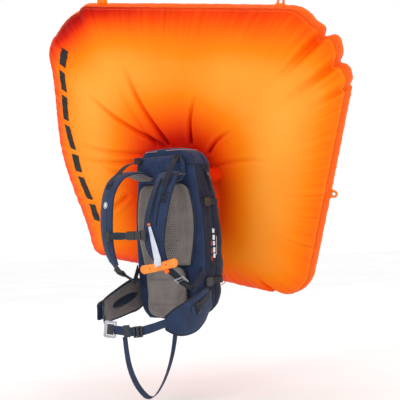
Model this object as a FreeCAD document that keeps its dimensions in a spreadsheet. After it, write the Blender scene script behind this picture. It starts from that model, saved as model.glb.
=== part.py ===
"""Avalanche airbag backpack, closed and with its airbag inflated.

Millimetres. +Z is up, -Y is the way the wearer faces, +X is the wearer's left. The origin
is on the front face of the back panel, where it touches the wearer, on the centre line.
"""
import FreeCAD, Part
import math
import os
import Sketcher

V = FreeCAD.Vector
X_AXIS = V(1, 0, 0)
Y_AXIS = V(0, 1, 0)
Z_AXIS = V(0, 0, 1)

DIMS = {
    # clearance between pieces that lie on each other
    "gap": 0.4,
    # back panel, lumbar pad and the padded yoke above them
    "panel_depth": 12, "panel_top": 206, "panel_low": -52, "panel_top_half": 93,
    "panel_wide_half": 109, "panel_wide_level": 93, "panel_low_half": 88,
    "lumbar_width": 146, "lumbar_height": 158, "lumbar_proud": 16, "lumbar_corner": 34,
    "yoke_width": 176, "yoke_height": 86, "yoke_proud": 16, "yoke_corner": 30,
    # pack bag
    "bag_front": 12.4, "bag_wall": 1.5, "bag_low": -214, "bag_top": 312,
    # frame inside the bag
    "sheet_width": 150, "sheet_height": 400, "sheet_depth": 2, "sheet_slot": 60,
    "stay_width": 14, "stay_depth": 3, "stay_length": 370, "stay_spread": 104,
    # harness
    "pad_width": 66, "pad_depth": 14, "webbing_wide": 25, "webbing_narrow": 20,
    "webbing_depth": 1.6, "lock_bar": 5, "lock_depth": 4,
    # hip belt
    "wing_depth": 14, "pocket_depth": 12, "belt_width": 25, "belt_buckle_tall": 50, "belt_buckle_long": 38,
    "belt_buckle_depth": 5, "belt_buckle_bar": 7,
    # compression straps
    "strap_stand_off": 3.6, "compression_upper": 143, "compression_lower": -104,
    # inflation system inside the bag
    "cartridge_dia": 52, "cartridge_length": 190, "cartridge_side": 62, "cartridge_rear": 74,
    "cartridge_low": 6, "cartridge_wall": 2.6, "neck_dia": 18, "neck_length": 12, "inflator_size": 48,
    "pin_dia": 6, "pin_fit": 0.1, "pin_depth": 16, "pin_proud": 9, "pin_head_dia": 12,
    "gauge_dia": 30, "gauge_depth": 12, "gauge_rim": 1.5, "needle_length": 11,
    "hose_dia": 40, "hose_wall": 2, "hose_clearance": 1,
    # airbag, measured in its own upright frame
    "airbag_top_width": 966, "airbag_low_width": 770, "airbag_height": 975,
    "airbag_bow": 54, "airbag_gusset": 80, "airbag_bulge": 110, "airbag_corner": 140,
    "airbag_skin": 0.8, "airbag_side": -66, "airbag_rear": 305, "airbag_level": 338,
    "airbag_yaw": 10, "airbag_pitch": 15, "airbag_roll": 10,
    "tab_width": 30, "tab_length": 26, "tab_depth": 1.6, "eyelet_radius": 5,
    # trigger
    "handle_length": 118, "handle_width": 26, "handle_depth": 13, "handle_tilt": 10, "handle_turn": 14,
    "ferrule_dia": 11, "cable_housing_dia": 5,
    # zips
    "zip_width": 8, "zip_depth": 1.6, "slider_length": 12, "slider_width": 9,
    "slider_depth": 5, "pull_length": 24, "pull_width": 6, "pull_depth": 2,
    # free cords
    "leg_strap_width": 20, "leg_strap_depth": 2, "tool_cord_dia": 3,
}

doc = FreeCAD.newDocument("airbag_backpack")
sheet = doc.addObject("Spreadsheet::Sheet", "dims")
for row, (alias, value) in enumerate(DIMS.items(), start=1):
    sheet.set(f"A{row}", alias)
    sheet.set(f"B{row}", str(value))
    sheet.setAlias(f"B{row}", alias)
doc.recompute()

NODES = []


def dim(alias):
    """The value of a cell of the sheet."""
    return float(sheet.get(alias))


# ---------------------------------------------------------------- general builders

def keep(piece, label):
    """Name a finished sub-part and list it for export."""
    piece.Label = label
    NODES.append(piece)
    return piece


def place(origin, along=X_AXIS, normal=Z_AXIS):
    """A placement whose local X runs along one direction and whose local Z is near another."""
    local_x = V(along).normalize()
    local_y = normal.cross(local_x).normalize()
    local_z = local_x.cross(local_y)
    return FreeCAD.Placement(V(origin), FreeCAD.Rotation(local_x, local_y, local_z, "ZXY"))


def new_body(label):
    body = doc.addObject("PartDesign::Body", label)
    return keep(body, label)


def plane(body, role):
    return next(item for item in body.Origin.OriginFeatures if item.Role == role)


def new_sketch(body, role, offset):
    """A sketch on one of the body's own planes, moved along its normal by an expression."""
    sketch = body.newObject("Sketcher::SketchObject", body.Name + "_outline")
    sketch.AttachmentSupport = [(plane(body, role), "")]
    sketch.MapMode = "FlatFace"
    sketch.setExpression("AttachmentOffset.Base.z", offset)
    return sketch


def bind(sketch, kind, ends, expression):
    """Add a distance constraint and bind it to cells of the sheet."""
    sketch.addConstraint(Sketcher.Constraint(kind, *ends, evaluate(expression)))
    sketch.setExpression(f"Constraints[{sketch.ConstraintCount - 1}]", expression)


def evaluate(expression):
    """The value of an expression over the sheet's cells, as a plain number."""
    probe = sheet.evalExpression(expression)
    return float(getattr(probe, "Value", probe))


def rounded_rectangle(sketch, centre, size, corner):
    """A rectangle with four equal round corners; every measure is an expression."""
    cx, cy = (evaluate(item) for item in centre)
    w, h = (evaluate(item) / 2 for item in size)
    r = evaluate(corner)
    first = sketch.GeometryCount
    sides = [
        ((cx - w + r, cy - h), (cx + w - r, cy - h)),
        ((cx + w, cy - h + r), (cx + w, cy + h - r)),
        ((cx + w - r, cy + h), (cx - w + r, cy + h)),
        ((cx - w, cy + h - r), (cx - w, cy - h + r)),
    ]
    corners = [
        (cx + w - r, cy - h + r, 270), (cx + w - r, cy + h - r, 0),
        (cx - w + r, cy + h - r, 90), (cx - w + r, cy - h + r, 180),
    ]
    for start, end in sides:
        sketch.addGeometry(Part.LineSegment(V(*start, 0), V(*end, 0)), False)
    for x, y, angle in corners:
        circle = Part.Circle(V(x, y, 0), Z_AXIS, r)
        turn = math.radians(angle)
        sketch.addGeometry(Part.ArcOfCircle(circle, turn, turn + math.pi / 2), False)
    for side in range(4):
        line, arc = first + side, first + 4 + side
        following = first + (side + 1) % 4
        sketch.addConstraint(Sketcher.Constraint("Tangent", line, 2, arc, 1))
        sketch.addConstraint(Sketcher.Constraint("Tangent", arc, 2, following, 1))
    for arc in range(first + 5, first + 8):
        sketch.addConstraint(Sketcher.Constraint("Equal", first + 4, arc))
    sketch.addConstraint(Sketcher.Constraint("Horizontal", first))
    sketch.addConstraint(Sketcher.Constraint("Vertical", first + 1))
    bind(sketch, "Radius", (first + 4,), corner)
    bind(sketch, "DistanceX", (-1, 1, first + 1, 1), f"{centre[0]} + ({size[0]}) / 2")
    bind(sketch, "DistanceX", (-1, 1, first + 3, 1), f"{centre[0]} - ({size[0]}) / 2")
    bind(sketch, "DistanceY", (-1, 1, first, 1), f"{centre[1]} - ({size[1]}) / 2")
    bind(sketch, "DistanceY", (-1, 1, first + 2, 1), f"{centre[1]} + ({size[1]}) / 2")


def polygon(sketch, corners):
    """A closed outline of straight edges; every coordinate is an expression."""
    points = [V(evaluate(x), evaluate(y), 0) for x, y in corners]
    count = len(points)
    for index in range(count):
        sketch.addGeometry(Part.LineSegment(points[index], points[(index + 1) % count]), False)
    for index in range(count):
        sketch.addConstraint(
            Sketcher.Constraint("Coincident", index, 2, (index + 1) % count, 1))
    for index, (x, y) in enumerate(corners):
        bind(sketch, "DistanceX", (-1, 1, index, 1), x)
        bind(sketch, "DistanceY", (-1, 1, index, 1), y)


def pad(body, sketch, length):
    feature = body.newObject("PartDesign::Pad", body.Name + "_pad")
    feature.Profile = sketch
    feature.setExpression("Length", length)
    return feature


def round_all(body, base, radius):
    feature = body.newObject("PartDesign::Fillet", body.Name + "_rounding")
    feature.Base = (base, [""])
    feature.UseAllEdges = True
    feature.Radius = radius
    return feature


def plate(label, size, depth, corner, windows=(), placement=None, rounding=None):
    """A flat plate in its own XY plane, centred, with rectangular windows through it."""
    body = new_body(label)
    sketch = new_sketch(body, "XY_Plane", f"-({depth}) / 2")
    rounded_rectangle(sketch, ("0", "0"), size, corner)
    for centre, window in windows:
        rounded_rectangle(sketch, centre, window, "1")
    solid = pad(body, sketch, depth)
    if rounding:
        doc.recompute()
        round_all(body, solid, rounding)
    if placement:
        body.Placement = placement
    return body


def rod(label, radius, length, placement, inner=None):
    """A round bar or tube that starts at the placement and runs along its local Z."""
    outer = doc.addObject("Part::Cylinder", label + "_outer" if inner else label)
    outer.setExpression("Radius", radius)
    outer.setExpression("Height", length)
    if not inner:
        outer.Placement = placement
        return keep(outer, label)
    core = doc.addObject("Part::Cylinder", label + "_bore")
    core.setExpression("Radius", inner)
    core.setExpression("Height", length)
    tube = doc.addObject("Part::Cut", label)
    tube.Base, tube.Tool = outer, core
    tube.Placement = placement
    return keep(tube, label)


def feature(label, shape, placement=None):
    """A sub-part whose shape is made in code."""
    item = doc.addObject("Part::Feature", label)
    item.Shape = shape
    if placement:
        item.Placement = placement
    return keep(item, label)


def group(label, pieces):
    """Identical or paired solids kept as one sub-part."""
    compound = doc.addObject("Part::Compound", label)
    compound.Links = pieces
    for piece in pieces:
        NODES.remove(piece)
    return keep(compound, label)


def rectangle_wire(centre, across, normal, width, depth):
    corners = [
        centre + across * (side * width / 2) + normal * (face * depth / 2)
        for side, face in ((-1, -1), (1, -1), (1, 1), (-1, 1))
    ]
    return Part.makePolygon(corners + corners[:1])


def band_shape(route, widths, depth, across, straight=False):
    """A flat strap or pad: rectangles square to the route, lofted into one solid."""
    points = [V(*point) for point in route]
    wires = []
    for index, point in enumerate(points):
        before = points[max(index - 1, 0)]
        after = points[min(index + 1, len(points) - 1)]
        tangent = (after - before).normalize()
        side = across[index] if isinstance(across, list) else across
        side = (side - tangent * side.dot(tangent)).normalize()
        wires.append(rectangle_wire(point, side, side.cross(tangent), widths[index], depth))
    return Part.makeLoft(wires, True, straight)


def rounded_path(route):
    """Straight runs joined by tangent arcs, each as large as its two runs allow."""
    points = [V(*point) for point in route]
    edges, radii = [], []
    start = points[0]
    for before, corner, after in zip(points, points[1:], points[2:]):
        arriving, leaving = corner - before, after - corner
        half_turn = arriving.getAngle(leaving) / 2
        setback = 0.45 * min(arriving.Length, leaving.Length)
        radius = setback / math.tan(half_turn)
        radii.append(round(radius, 1))
        into, out = V(arriving).normalize(), V(leaving).normalize()
        arc_start, arc_end = corner - into * setback, corner + out * setback
        to_centre = (out - into).normalize()
        centre = corner + to_centre * (radius / math.cos(half_turn))
        middle = centre - to_centre * radius
        edges.append(Part.LineSegment(start, arc_start).toShape())
        edges.append(Part.Arc(arc_start, middle, arc_end).toShape())
        start = arc_end
    edges.append(Part.LineSegment(start, points[-1]).toShape())
    return Part.Wire(edges), radii


def swept(label, route, profile, section_area, across=None):
    """A cord along its rounded route; its volume is compared with section times length."""
    path, radii = rounded_path(route)
    shell = Part.BRepOffsetAPI.MakePipeShell(path)
    if across is not None:
        shell.setBiNormalMode(across)
    shell.add(profile, False, False)
    shell.build()
    shell.makeSolid()
    solid = shell.shape()
    share = solid.Volume / (section_area * path.Length)
    print(f"{label}: length {path.Length:.0f}, radii {radii}, volume share {share:.3f}")
    return feature(label, solid)


# ---------------------------------------------------------------- pack bag

# level, half width, rear, corner radius
BAG_SECTIONS = [
    (dim("bag_low"), 92, 78, 28),
    (-182, 115, 140, 52),
    (-121, 122, 170, 68),
    (-20, 126, 184, 70),
    (83, 125, 180, 70),
    (218, 110, 160, 62),
    (270, 103, 154, 54),
    (298, 88, 138, 44),
    (dim("bag_top"), 66, 118, 34),
]
FRONT_CORNER = 18


def bag_outline(level, half, rear, corner, inset):
    """The bag's closed outline at one level, a flat front with two large rear corners."""
    front = dim("bag_front") + inset
    half, rear, corner = half - inset, rear - inset, corner - inset
    small = FRONT_CORNER - inset
    d = math.sqrt(0.5)
    edges = [Part.LineSegment(V(-half + small, front, level), V(half - small, front, level))]

    def arc(centre_x, centre_y, radius, first, middle, last):
        turn = [
            V(centre_x + radius * x, centre_y + radius * y, level)
            for x, y in (first, middle, last)
        ]
        return Part.Arc(*turn)

    edges.append(arc(half - small, front + small, small, (0, -1), (d, -d), (1, 0)))
    edges.append(Part.LineSegment(V(half, front + small, level), V(half, rear - corner, level)))
    edges.append(arc(half - corner, rear - corner, corner, (1, 0), (d, d), (0, 1)))
    edges.append(Part.LineSegment(V(half - corner, rear, level), V(-half + corner, rear, level)))
    edges.append(arc(-half + corner, rear - corner, corner, (0, 1), (-d, d), (-1, 0)))
    edges.append(Part.LineSegment(V(-half, rear - corner, level), V(-half, front + small, level)))
    edges.append(arc(-half + small, front + small, small, (-1, 0), (-d, -d), (0, -1)))
    return Part.Wire([edge.toShape() for edge in edges])


def bag_solid(inset):
    """The bag's outer form, or its inner space when inset by the wall."""
    wires = []
    for level, half, rear, corner in BAG_SECTIONS:
        level = min(max(level, dim("bag_low") + inset), dim("bag_top") - inset)
        wires.append(bag_outline(level, half, rear, corner, inset))
    return Part.makeLoft(wires, True, False)


def bag_section(level):
    """Half width, rear and corner radius of the bag at a level between its sections."""
    for low, high in zip(BAG_SECTIONS, BAG_SECTIONS[1:]):
        if low[0] <= level <= high[0]:
            share = (level - low[0]) / (high[0] - low[0])
            return [a + (b - a) * share for a, b in zip(low[1:], high[1:])]
    raise ValueError(level)


# ---------------------------------------------------------------- airbag pose

AIRBAG_PLACE = FreeCAD.Placement(
    V(dim("airbag_side"), dim("airbag_rear"), dim("airbag_level")),
    FreeCAD.Rotation(Z_AXIS, dim("airbag_yaw"))
    * FreeCAD.Rotation(X_AXIS, dim("airbag_pitch"))
    * FreeCAD.Rotation(Y_AXIS, dim("airbag_roll")))


def airbag_half_width(level):
    """Half the seam-to-seam width at a height in the airbag's own frame."""
    height, corner = dim("airbag_height"), dim("airbag_corner")
    share = level / height + 0.5
    half = (dim("airbag_low_width") * (1 - share) + dim("airbag_top_width") * share) / 2
    half += dim("airbag_bow") * (1 - (2 * level / height) ** 2)
    inside = max(abs(level) - (height / 2 - corner), 0)
    return half - corner + math.sqrt(max(corner ** 2 - inside ** 2, 0))


def airbag_bulge(level):
    """How far a panel stands out beyond the gusset at its middle."""
    share = min(abs(level) / (dim("airbag_height") / 2), 1)
    return max(dim("airbag_bulge") * (1 - share ** 2.6) ** 0.6, 3)


def airbag_panel(half, gusset, bulge, level):
    """One panel's profile at a level: steep at its seams and nearly flat in the middle."""
    points = []
    for share in (-1, -0.9, -0.65, -0.3, 0, 0.3, 0.65, 0.9, 1):
        rise = bulge * (1 - abs(share) ** 2.6) ** 0.6
        points.append(V(half * share, gusset + math.copysign(rise, gusset), level))
    curve = Part.BSplineCurve()
    curve.interpolate(points)
    return curve.toShape()


def airbag_solid(inset):
    """The inflated envelope: two bulged panels joined by a flat gusset all round."""
    half_height = dim("airbag_height") / 2
    corner = dim("airbag_corner")
    straight = half_height - corner
    levels = [-straight, -straight / 2, 0, straight / 2, straight]
    for share in (0.5, 0.85, 1):
        levels.insert(0, -straight - corner * share)
        levels.append(straight + corner * share)
    wires = []
    for level in levels:
        half = airbag_half_width(level) - inset
        gusset = dim("airbag_gusset") / 2 - inset
        bulge = airbag_bulge(level)
        height = min(max(level, -half_height + inset), half_height - inset)
        wires.append(Part.Wire([
            Part.LineSegment(V(-half, -gusset, height), V(-half, gusset, height)).toShape(),
            airbag_panel(half, gusset, bulge, height),
            Part.LineSegment(V(half, gusset, height), V(half, -gusset, height)).toShape(),
            airbag_panel(half, -gusset, bulge, height),
        ]))
    return Part.makeLoft(wires, True, False)


# ---------------------------------------------------------------- pack

def make_back_panel():
    body = new_body("back_panel")
    sketch = new_sketch(body, "XZ_Plane", "-dims.panel_depth")
    polygon(sketch, [
        ("-dims.panel_low_half", "dims.panel_low"),
        ("dims.panel_low_half", "dims.panel_low"),
        ("dims.panel_wide_half", "dims.panel_wide_level"),
        ("dims.panel_top_half", "dims.panel_top"),
        ("-dims.panel_top_half", "dims.panel_top"),
        ("-dims.panel_wide_half", "dims.panel_wide_level"),
    ])
    pad(body, sketch, "dims.panel_depth")


def make_lumbar_pad():
    body = new_body("lumbar_pad")
    sketch = new_sketch(body, "XZ_Plane", "-dims.panel_depth")
    centre = ("0", "dims.panel_low - dims.gap - dims.lumbar_height / 2")
    rounded_rectangle(sketch, centre, ("dims.lumbar_width", "dims.lumbar_height"),
                      "dims.lumbar_corner")
    solid = pad(body, sketch, "dims.panel_depth + dims.lumbar_proud")
    doc.recompute()
    round_all(body, solid, 5)


def make_top_yoke():
    body = new_body("top_yoke")
    sketch = new_sketch(body, "XZ_Plane", "-dims.panel_depth")
    centre = ("0", "dims.panel_top + dims.gap + dims.yoke_height / 2")
    rounded_rectangle(sketch, centre, ("dims.yoke_width", "dims.yoke_height"),
                      "dims.yoke_corner")
    solid = pad(body, sketch, "dims.panel_depth + dims.yoke_proud")
    doc.recompute()
    round_all(body, solid, 4)


def hose_axis():
    """Start and direction of the hose, from the inflator's rear face to the airbag."""
    level = inflator_level()
    return V(dim("cartridge_side"), dim("cartridge_rear") + dim("inflator_size") / 2, level)


def inflator_level():
    low = dim("cartridge_low") + dim("cartridge_length") + dim("neck_length")
    return low + dim("inflator_size") / 2


def make_main_bag():
    shell = bag_solid(0).cut(bag_solid(dim("bag_wall")))
    port = dim("hose_dia") / 2 + dim("hose_clearance")
    start = hose_axis()
    shell = shell.cut(Part.makeCylinder(port, dim("airbag_rear"), start, Y_AXIS))
    feature("main_bag", shell)


def make_frame():
    front = dim("bag_front") + dim("bag_wall") + dim("gap")
    depth = dim("sheet_depth")
    across = place(V(0, front + depth / 2, 0), X_AXIS, Y_AXIS)
    slots = [
        ((f"{side} * dims.sheet_width / 5", f"{level} * dims.sheet_height / 4"),
         ("dims.stay_width", "dims.sheet_slot"))
        for side in (-1, 1) for level in (-1, 0, 1)
    ]
    plate("frame_sheet", ("dims.sheet_width", "dims.sheet_height"), "dims.sheet_depth",
          "30", slots, across)
    stays = []
    stay_front = front + depth + dim("gap") + dim("stay_depth") / 2
    for name, side in (("left", 1), ("right", -1)):
        spot = V(side * dim("stay_spread") / 2, stay_front, 0)
        stays.append(plate(f"frame_stay_{name}", ("dims.stay_width", "dims.stay_length"),
                           "dims.stay_depth", "dims.stay_width / 2 - 0.5", (),
                           place(spot, X_AXIS, Y_AXIS)))
    group("frame_stays", stays)


# ---------------------------------------------------------------- compression straps

def side_strap_shape(level, side, stand_off, depth, width):
    """A strap round one side of the bag, from the front corner to the middle of the rear."""
    half, rear, corner = bag_section(level)
    front = dim("bag_front") + FRONT_CORNER
    turn_end = math.sqrt(0.5)

    def line(offset):
        outer = half + offset
        return [
            V(side * outer, front, level - width / 2),
            V(side * outer, rear - corner, level - width / 2),
            V(side * (half - corner + (corner + offset) * turn_end),
              rear - corner + (corner + offset) * turn_end, level - width / 2),
            V(side * (half - corner), rear + offset, level - width / 2),
        ]

    near, far = line(stand_off), line(stand_off + depth)
    outline = Part.Wire([
        Part.LineSegment(near[0], near[1]).toShape(),
        Part.Arc(near[1], near[2], near[3]).toShape(),
        Part.LineSegment(near[3], far[3]).toShape(),
        Part.Arc(far[3], far[2], far[1]).toShape(),
        Part.LineSegment(far[1], far[0]).toShape(),
        Part.LineSegment(far[0], near[0]).toShape(),
    ])
    return Part.Face(outline).extrude(Z_AXIS * width)


def make_compression_straps():
    depth, width = dim("webbing_depth"), dim("webbing_narrow")
    stand_off = dim("strap_stand_off")
    buckles = []
    for level_name, rear_shift in (("upper", 28), ("lower", 12)):
        level = dim("compression_" + level_name)
        for name, side in (("left", 1), ("right", -1)):
            strap = side_strap_shape(level, side, stand_off, depth, width)
            feature(f"compression_strap_{level_name}_{name}", strap)
            out = bag_section(level)[0] + stand_off + depth + 3.4
            spot = V(side * out, dim("bag_front") + FRONT_CORNER + rear_shift, level)
            buckle = plate(f"compression_buckle_{level_name}_{name}", ("34", "27"), "6", "3",
                           (), place(spot, Y_AXIS, X_AXIS), 1)
            buckles.append(buckle)
    group("compression_buckles", buckles)


# ---------------------------------------------------------------- shoulder harness

STRAP_ROUTES = {
    "left": [(54, -27, 234), (62, -55, 226), (70, -84, 200), (77, -124, 154),
             (84, -158, 100), (88, -176, 47), (91, -174, 6), (96, -154, -34)],
    "right": [(-54, -24, 226), (-61, -76, 240), (-70, -134, 226), (-79, -168, 178),
              (-84, -178, 110), (-85, -178, 47), (-88, -166, 4), (-92, -140, -38)],
}
STRAP_WIDTHS = [72, 70, 66, 66, 66, 62, 52, 36]
STRAP_YAW = 20
ADJUSTERS = {"left": V(116, -90, -90), "right": V(-99, -106, -62)}
ANCHORS = {"left": V(130, -50, -118), "right": V(-108, -24, -96)}
ANCHOR_LEVELS = {"left": -72, "right": -58}


def strap_across(side):
    """Across each shoulder strap: the inner edge is turned forward below the shoulder."""
    directions = []
    for index in range(len(STRAP_WIDTHS)):
        yaw = math.radians(STRAP_YAW * min(index / 3, 1)) * side
        directions.append(V(math.cos(yaw), math.sin(yaw), 0))
    return directions


def make_shoulder_straps():
    for name, side in (("left", 1), ("right", -1)):
        shape = band_shape(STRAP_ROUTES[name], STRAP_WIDTHS, dim("pad_depth"),
                           strap_across(side))
        feature(f"shoulder_strap_{name}", shape)


def make_strap_adjusters():
    """Lower webbing, ladder adjuster and sewn anchor tab of each shoulder strap."""
    width, depth = dim("webbing_wide"), dim("webbing_depth")
    for name, side in (("left", 1), ("right", -1)):
        strap_end, strap_before = (V(*STRAP_ROUTES[name][index]) for index in (-1, -2))
        adjuster, anchor = ADJUSTERS[name], ANCHORS[name]
        across = strap_across(side)[-1]
        leave = (strap_end - strap_before).normalize()
        down = (anchor - adjuster).normalize()
        top = strap_end + leave * 3
        into = (adjuster - top).normalize()
        clear = 18
        upper = band_shape([top, adjuster - into * clear], [width, width], depth, across, True)
        lower = band_shape([adjuster + down * clear, anchor], [width, width], depth, across,
                           True)
        feature(f"strap_webbing_{name}", Part.makeCompound([upper, lower]))
        windows = [(("-6", "0"), ("6", "dims.webbing_wide + 1")),
                   (("6", "0"), ("6", "dims.webbing_wide + 1"))]
        plate(f"strap_adjuster_{name}", ("30", "dims.webbing_wide + 2 * dims.lock_bar"),
              "dims.lock_depth", "3", windows,
              place(adjuster, adjuster - top, down.cross(across)))


def make_strap_anchors():
    """Triangular tabs sewn between the bag and the hip belt, one each side."""
    for name, side in (("left", 1), ("right", -1)):
        anchor = ANCHORS[name]
        level = ANCHOR_LEVELS[name]
        rear = V(side * (bag_section(level)[0] + 2.2), 22, level)
        start = anchor + (rear - anchor).normalize()
        shape = band_shape([start, rear], [25, 30], 2, Z_AXIS, True)
        feature(f"strap_anchor_{name}", shape)


def make_load_lifters():
    """Short straps from the yoke's corners to the shoulder pads, with their ladder locks."""
    width, depth = dim("webbing_narrow"), dim("webbing_depth")
    ends = {
        "left": [(76, -27, 279), (79, -50, 262), (82, -78, 232), (86, -119, 186)],
        "right": [(-74, -30, 279), (-76, -84, 258), (-78, -136, 240)],
    }
    locks = []
    for name, route in ends.items():
        shape = band_shape(route, [width] * len(route), depth, X_AXIS)
        feature(f"load_lifter_{name}", shape)
        side = 1 if name == "left" else -1
        spot = V(side * 74, -dim("yoke_proud") - 3.4, 282)
        locks.append(plate(f"load_lifter_lock_{name}", ("28", "20"), "4", "3",
                           ((("0", "-3.5"), ("21", "3")), (("0", "3.5"), ("21", "3"))),
                           place(spot, X_AXIS, Y_AXIS)))
    group("load_lifter_locks", locks)


# ---------------------------------------------------------------- sternum strap

def make_sternum_strap():
    """Chest strap between the pads: sliders, webbing, gathered elastic and its buckle."""
    level, front = 52, -200
    width, depth = dim("webbing_narrow"), dim("webbing_depth")
    sliders = []
    for name, centre in (("left", 67), ("right", -65)):
        spot = V(centre, front - 1.5, level)
        sliders.append(plate(f"sternum_slider_{name}", ("16", "30"), "5", "3", (),
                             place(spot, X_AXIS, Y_AXIS), 1))
    group("sternum_sliders", sliders)
    feature("sternum_webbing", Part.makeBox(
        62, depth, width, V(-56.6, front - depth / 2, level - width / 2)))
    plate("sternum_buckle_female", ("28", "26"), "9", "4", (),
          place(V(20, front, level), X_AXIS, Y_AXIS), 1)
    plate("sternum_buckle_male", ("22", "26"), "7", "3", (),
          place(V(46, front, level), X_AXIS, Y_AXIS), 1)


# ---------------------------------------------------------------- trigger

TRIGGER_DOWN = V(30, -7.5, -104).normalize()
FERRULE = V(79.5, -188.5, 82)


def make_trigger():
    """Pull handle, its webbing and the ferrule at the end of the release cable."""
    width_top, width_low = 8, 24
    ferrule = doc.addObject("Part::Sphere", "cable_ferrule")
    ferrule.setExpression("Radius", "dims.ferrule_dia / 2")
    ferrule.Placement.Base = FERRULE
    keep(ferrule, "cable_ferrule")
    start = FERRULE + TRIGGER_DOWN * (dim("ferrule_dia") / 2 + 0.3)
    end = FERRULE + TRIGGER_DOWN * 112
    middle = start + (end - start) * 0.45
    webbing = band_shape([start, middle, end], [width_top, 17, width_low],
                         dim("webbing_depth"), X_AXIS, True)
    feature("trigger_webbing", webbing)
    tilt = math.radians(dim("handle_tilt"))
    turn = math.radians(dim("handle_turn"))
    along = V(math.cos(tilt) * math.cos(turn), math.sin(turn), math.sin(tilt))
    centre = end + TRIGGER_DOWN * (dim("handle_width") / 2 + 2.2)
    plate("trigger_handle", ("dims.handle_length", "dims.handle_width"), "dims.handle_depth",
          "dims.handle_width / 2 - 0.5", (), place(centre, along, Y_AXIS), 4)


def make_cable_housing():
    """Sheathed cable from the shoulder of the left strap down to the ferrule."""
    route = [(61, -88, 219), (66, -123, 181), (73, -155.5, 139), (77.5, -182, 97)]
    route = [V(*point) for point in route]
    area = math.pi * dim("cable_housing_dia") ** 2 / 4
    leave = (route[1] - route[0]).normalize()
    ring = Part.Circle(route[0], leave, dim("cable_housing_dia") / 2).toShape()
    swept("cable_housing", route, Part.Wire([ring]), area)


# ---------------------------------------------------------------- hip belt

WING_ROUTES = {
    "left": [(132, 8, -164), (135, -24, -181), (136, -62, -194), (133, -108, -203),
             (124, -150, -206), (112, -181, -206)],
    "right": [(-132, 8, -140), (-135, -30, -149), (-136, -74, -160), (-132, -122, -169),
              (-120, -162, -174), (-106, -188, -177)],
}
WING_HEIGHTS = {"left": [80, 94, 101, 95, 78, 36], "right": [102, 97, 90, 82, 75, 68]}
BELT_ROUTE = [(109.5, -186.5, -208), (73, -199, -220), (38, -211, -228), (5, -223, -226),
              (-22, -233, -222)]
RIGHT_TIP_ROUTE = [(-101.5, -195, -192), (-82, -213.5, -202), (-69, -226, -209)]


def make_hip_wings():
    for name, route in WING_ROUTES.items():
        heights = WING_HEIGHTS[name]
        feature(f"hip_wing_{name}", band_shape(route, heights, dim("wing_depth"), Z_AXIS))


def make_belt():
    """Belt webbing, its adjuster, the buckle frame and the right-hand catch."""
    width, depth = dim("belt_width"), dim("webbing_depth") + 0.4
    webbing = band_shape(BELT_ROUTE, [24, 26, 26, 26, 26], depth, Z_AXIS)
    feature("belt_webbing", webbing)
    start, end = V(*BELT_ROUTE[1]), V(*BELT_ROUTE[3])
    along = (end - start).normalize()
    outward = along.cross(Z_AXIS).normalize()
    if outward.y > 0:
        outward = outward * -1
    adjuster = V(*BELT_ROUTE[2]) + outward * (depth / 2 + 3.2)
    plate("belt_adjuster", ("28", "33"), "5", "3",
          ((("-6", "0"), ("5", "26")), (("6", "0"), ("5", "26"))),
          place(adjuster, along, outward))
    loop = V(*BELT_ROUTE[3])
    plate("leg_strap_loop", ("10", "36"), "18", "3", ((("0", "0"), ("5.6", "31")),),
          place(loop, outward, along))
    tip = V(*BELT_ROUTE[-1])
    before = V(*BELT_ROUTE[-2])
    run = (tip - before).normalize()
    frame = tip + run * (dim("belt_buckle_long") / 2 + 2.5)
    plate("belt_buckle_frame", ("dims.belt_buckle_long", "dims.belt_buckle_tall"),
          "dims.belt_buckle_depth", "6",
          ((("0", "0"), ("dims.belt_buckle_long - 2 * dims.belt_buckle_bar",
                         "dims.belt_buckle_tall - 2 * dims.belt_buckle_bar")),),
          place(frame, run, run.cross(Z_AXIS)), 1)
    catch = band_shape(RIGHT_TIP_ROUTE, [width] * 3, depth, Z_AXIS)
    feature("belt_catch", catch)


def make_hip_pocket():
    """Zipped pocket on the outside of the right wing."""
    stand_off = (dim("wing_depth") + dim("pocket_depth")) / 2 + 1.2
    route = [V(*point) for point in WING_ROUTES["right"][1:]]
    outside = []
    for index, point in enumerate(route):
        run = route[min(index + 1, len(route) - 1)] - route[max(index - 1, 0)]
        outside.append(point + run.cross(Z_AXIS).normalize() * stand_off)
    outside[0] = outside[0] + (outside[1] - outside[0]) * 0.5
    feature("hip_pocket", band_shape(outside, [58, 66, 64, 58, 48], dim("pocket_depth"),
                                     Z_AXIS))
    normal = (outside[2] - outside[1]).cross(Z_AXIS).normalize()
    lift = normal * (dim("pocket_depth") / 2 + dim("zip_depth") + 2.2) + Z_AXIS * 16
    return outside[1] + lift, outside[2] + lift, normal


# ---------------------------------------------------------------- zips

def make_zip(prefix, start, end, normal, slider_share):
    """A straight stretch of zip with a slider on it and a pull tab hanging from the slider."""
    along = (end - start).normalize()
    across = normal.cross(along).normalize()
    tape = band_shape([start, end], [dim("zip_width")] * 2, dim("zip_depth"), across, True)
    feature(prefix + "_zip", tape)
    seat = start + (end - start) * slider_share
    lift = dim("zip_depth") / 2 + dim("gap") + dim("slider_depth") / 2
    slider = seat + normal * lift
    plate(prefix + "_zip_slider", ("dims.slider_length", "dims.slider_width"),
          "dims.slider_depth", "2", (), place(slider, along, normal), 0.8)
    hang = slider + normal * (dim("slider_depth") / 2 + dim("gap") + dim("pull_depth") / 2)
    plate(prefix + "_zip_pull", ("dims.pull_length", "dims.pull_width"), "dims.pull_depth",
          "2.4", (), place(hang + along * (dim("pull_length") / 2 - 3), along, normal), 0.6)


# ---------------------------------------------------------------- inflation system

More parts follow.
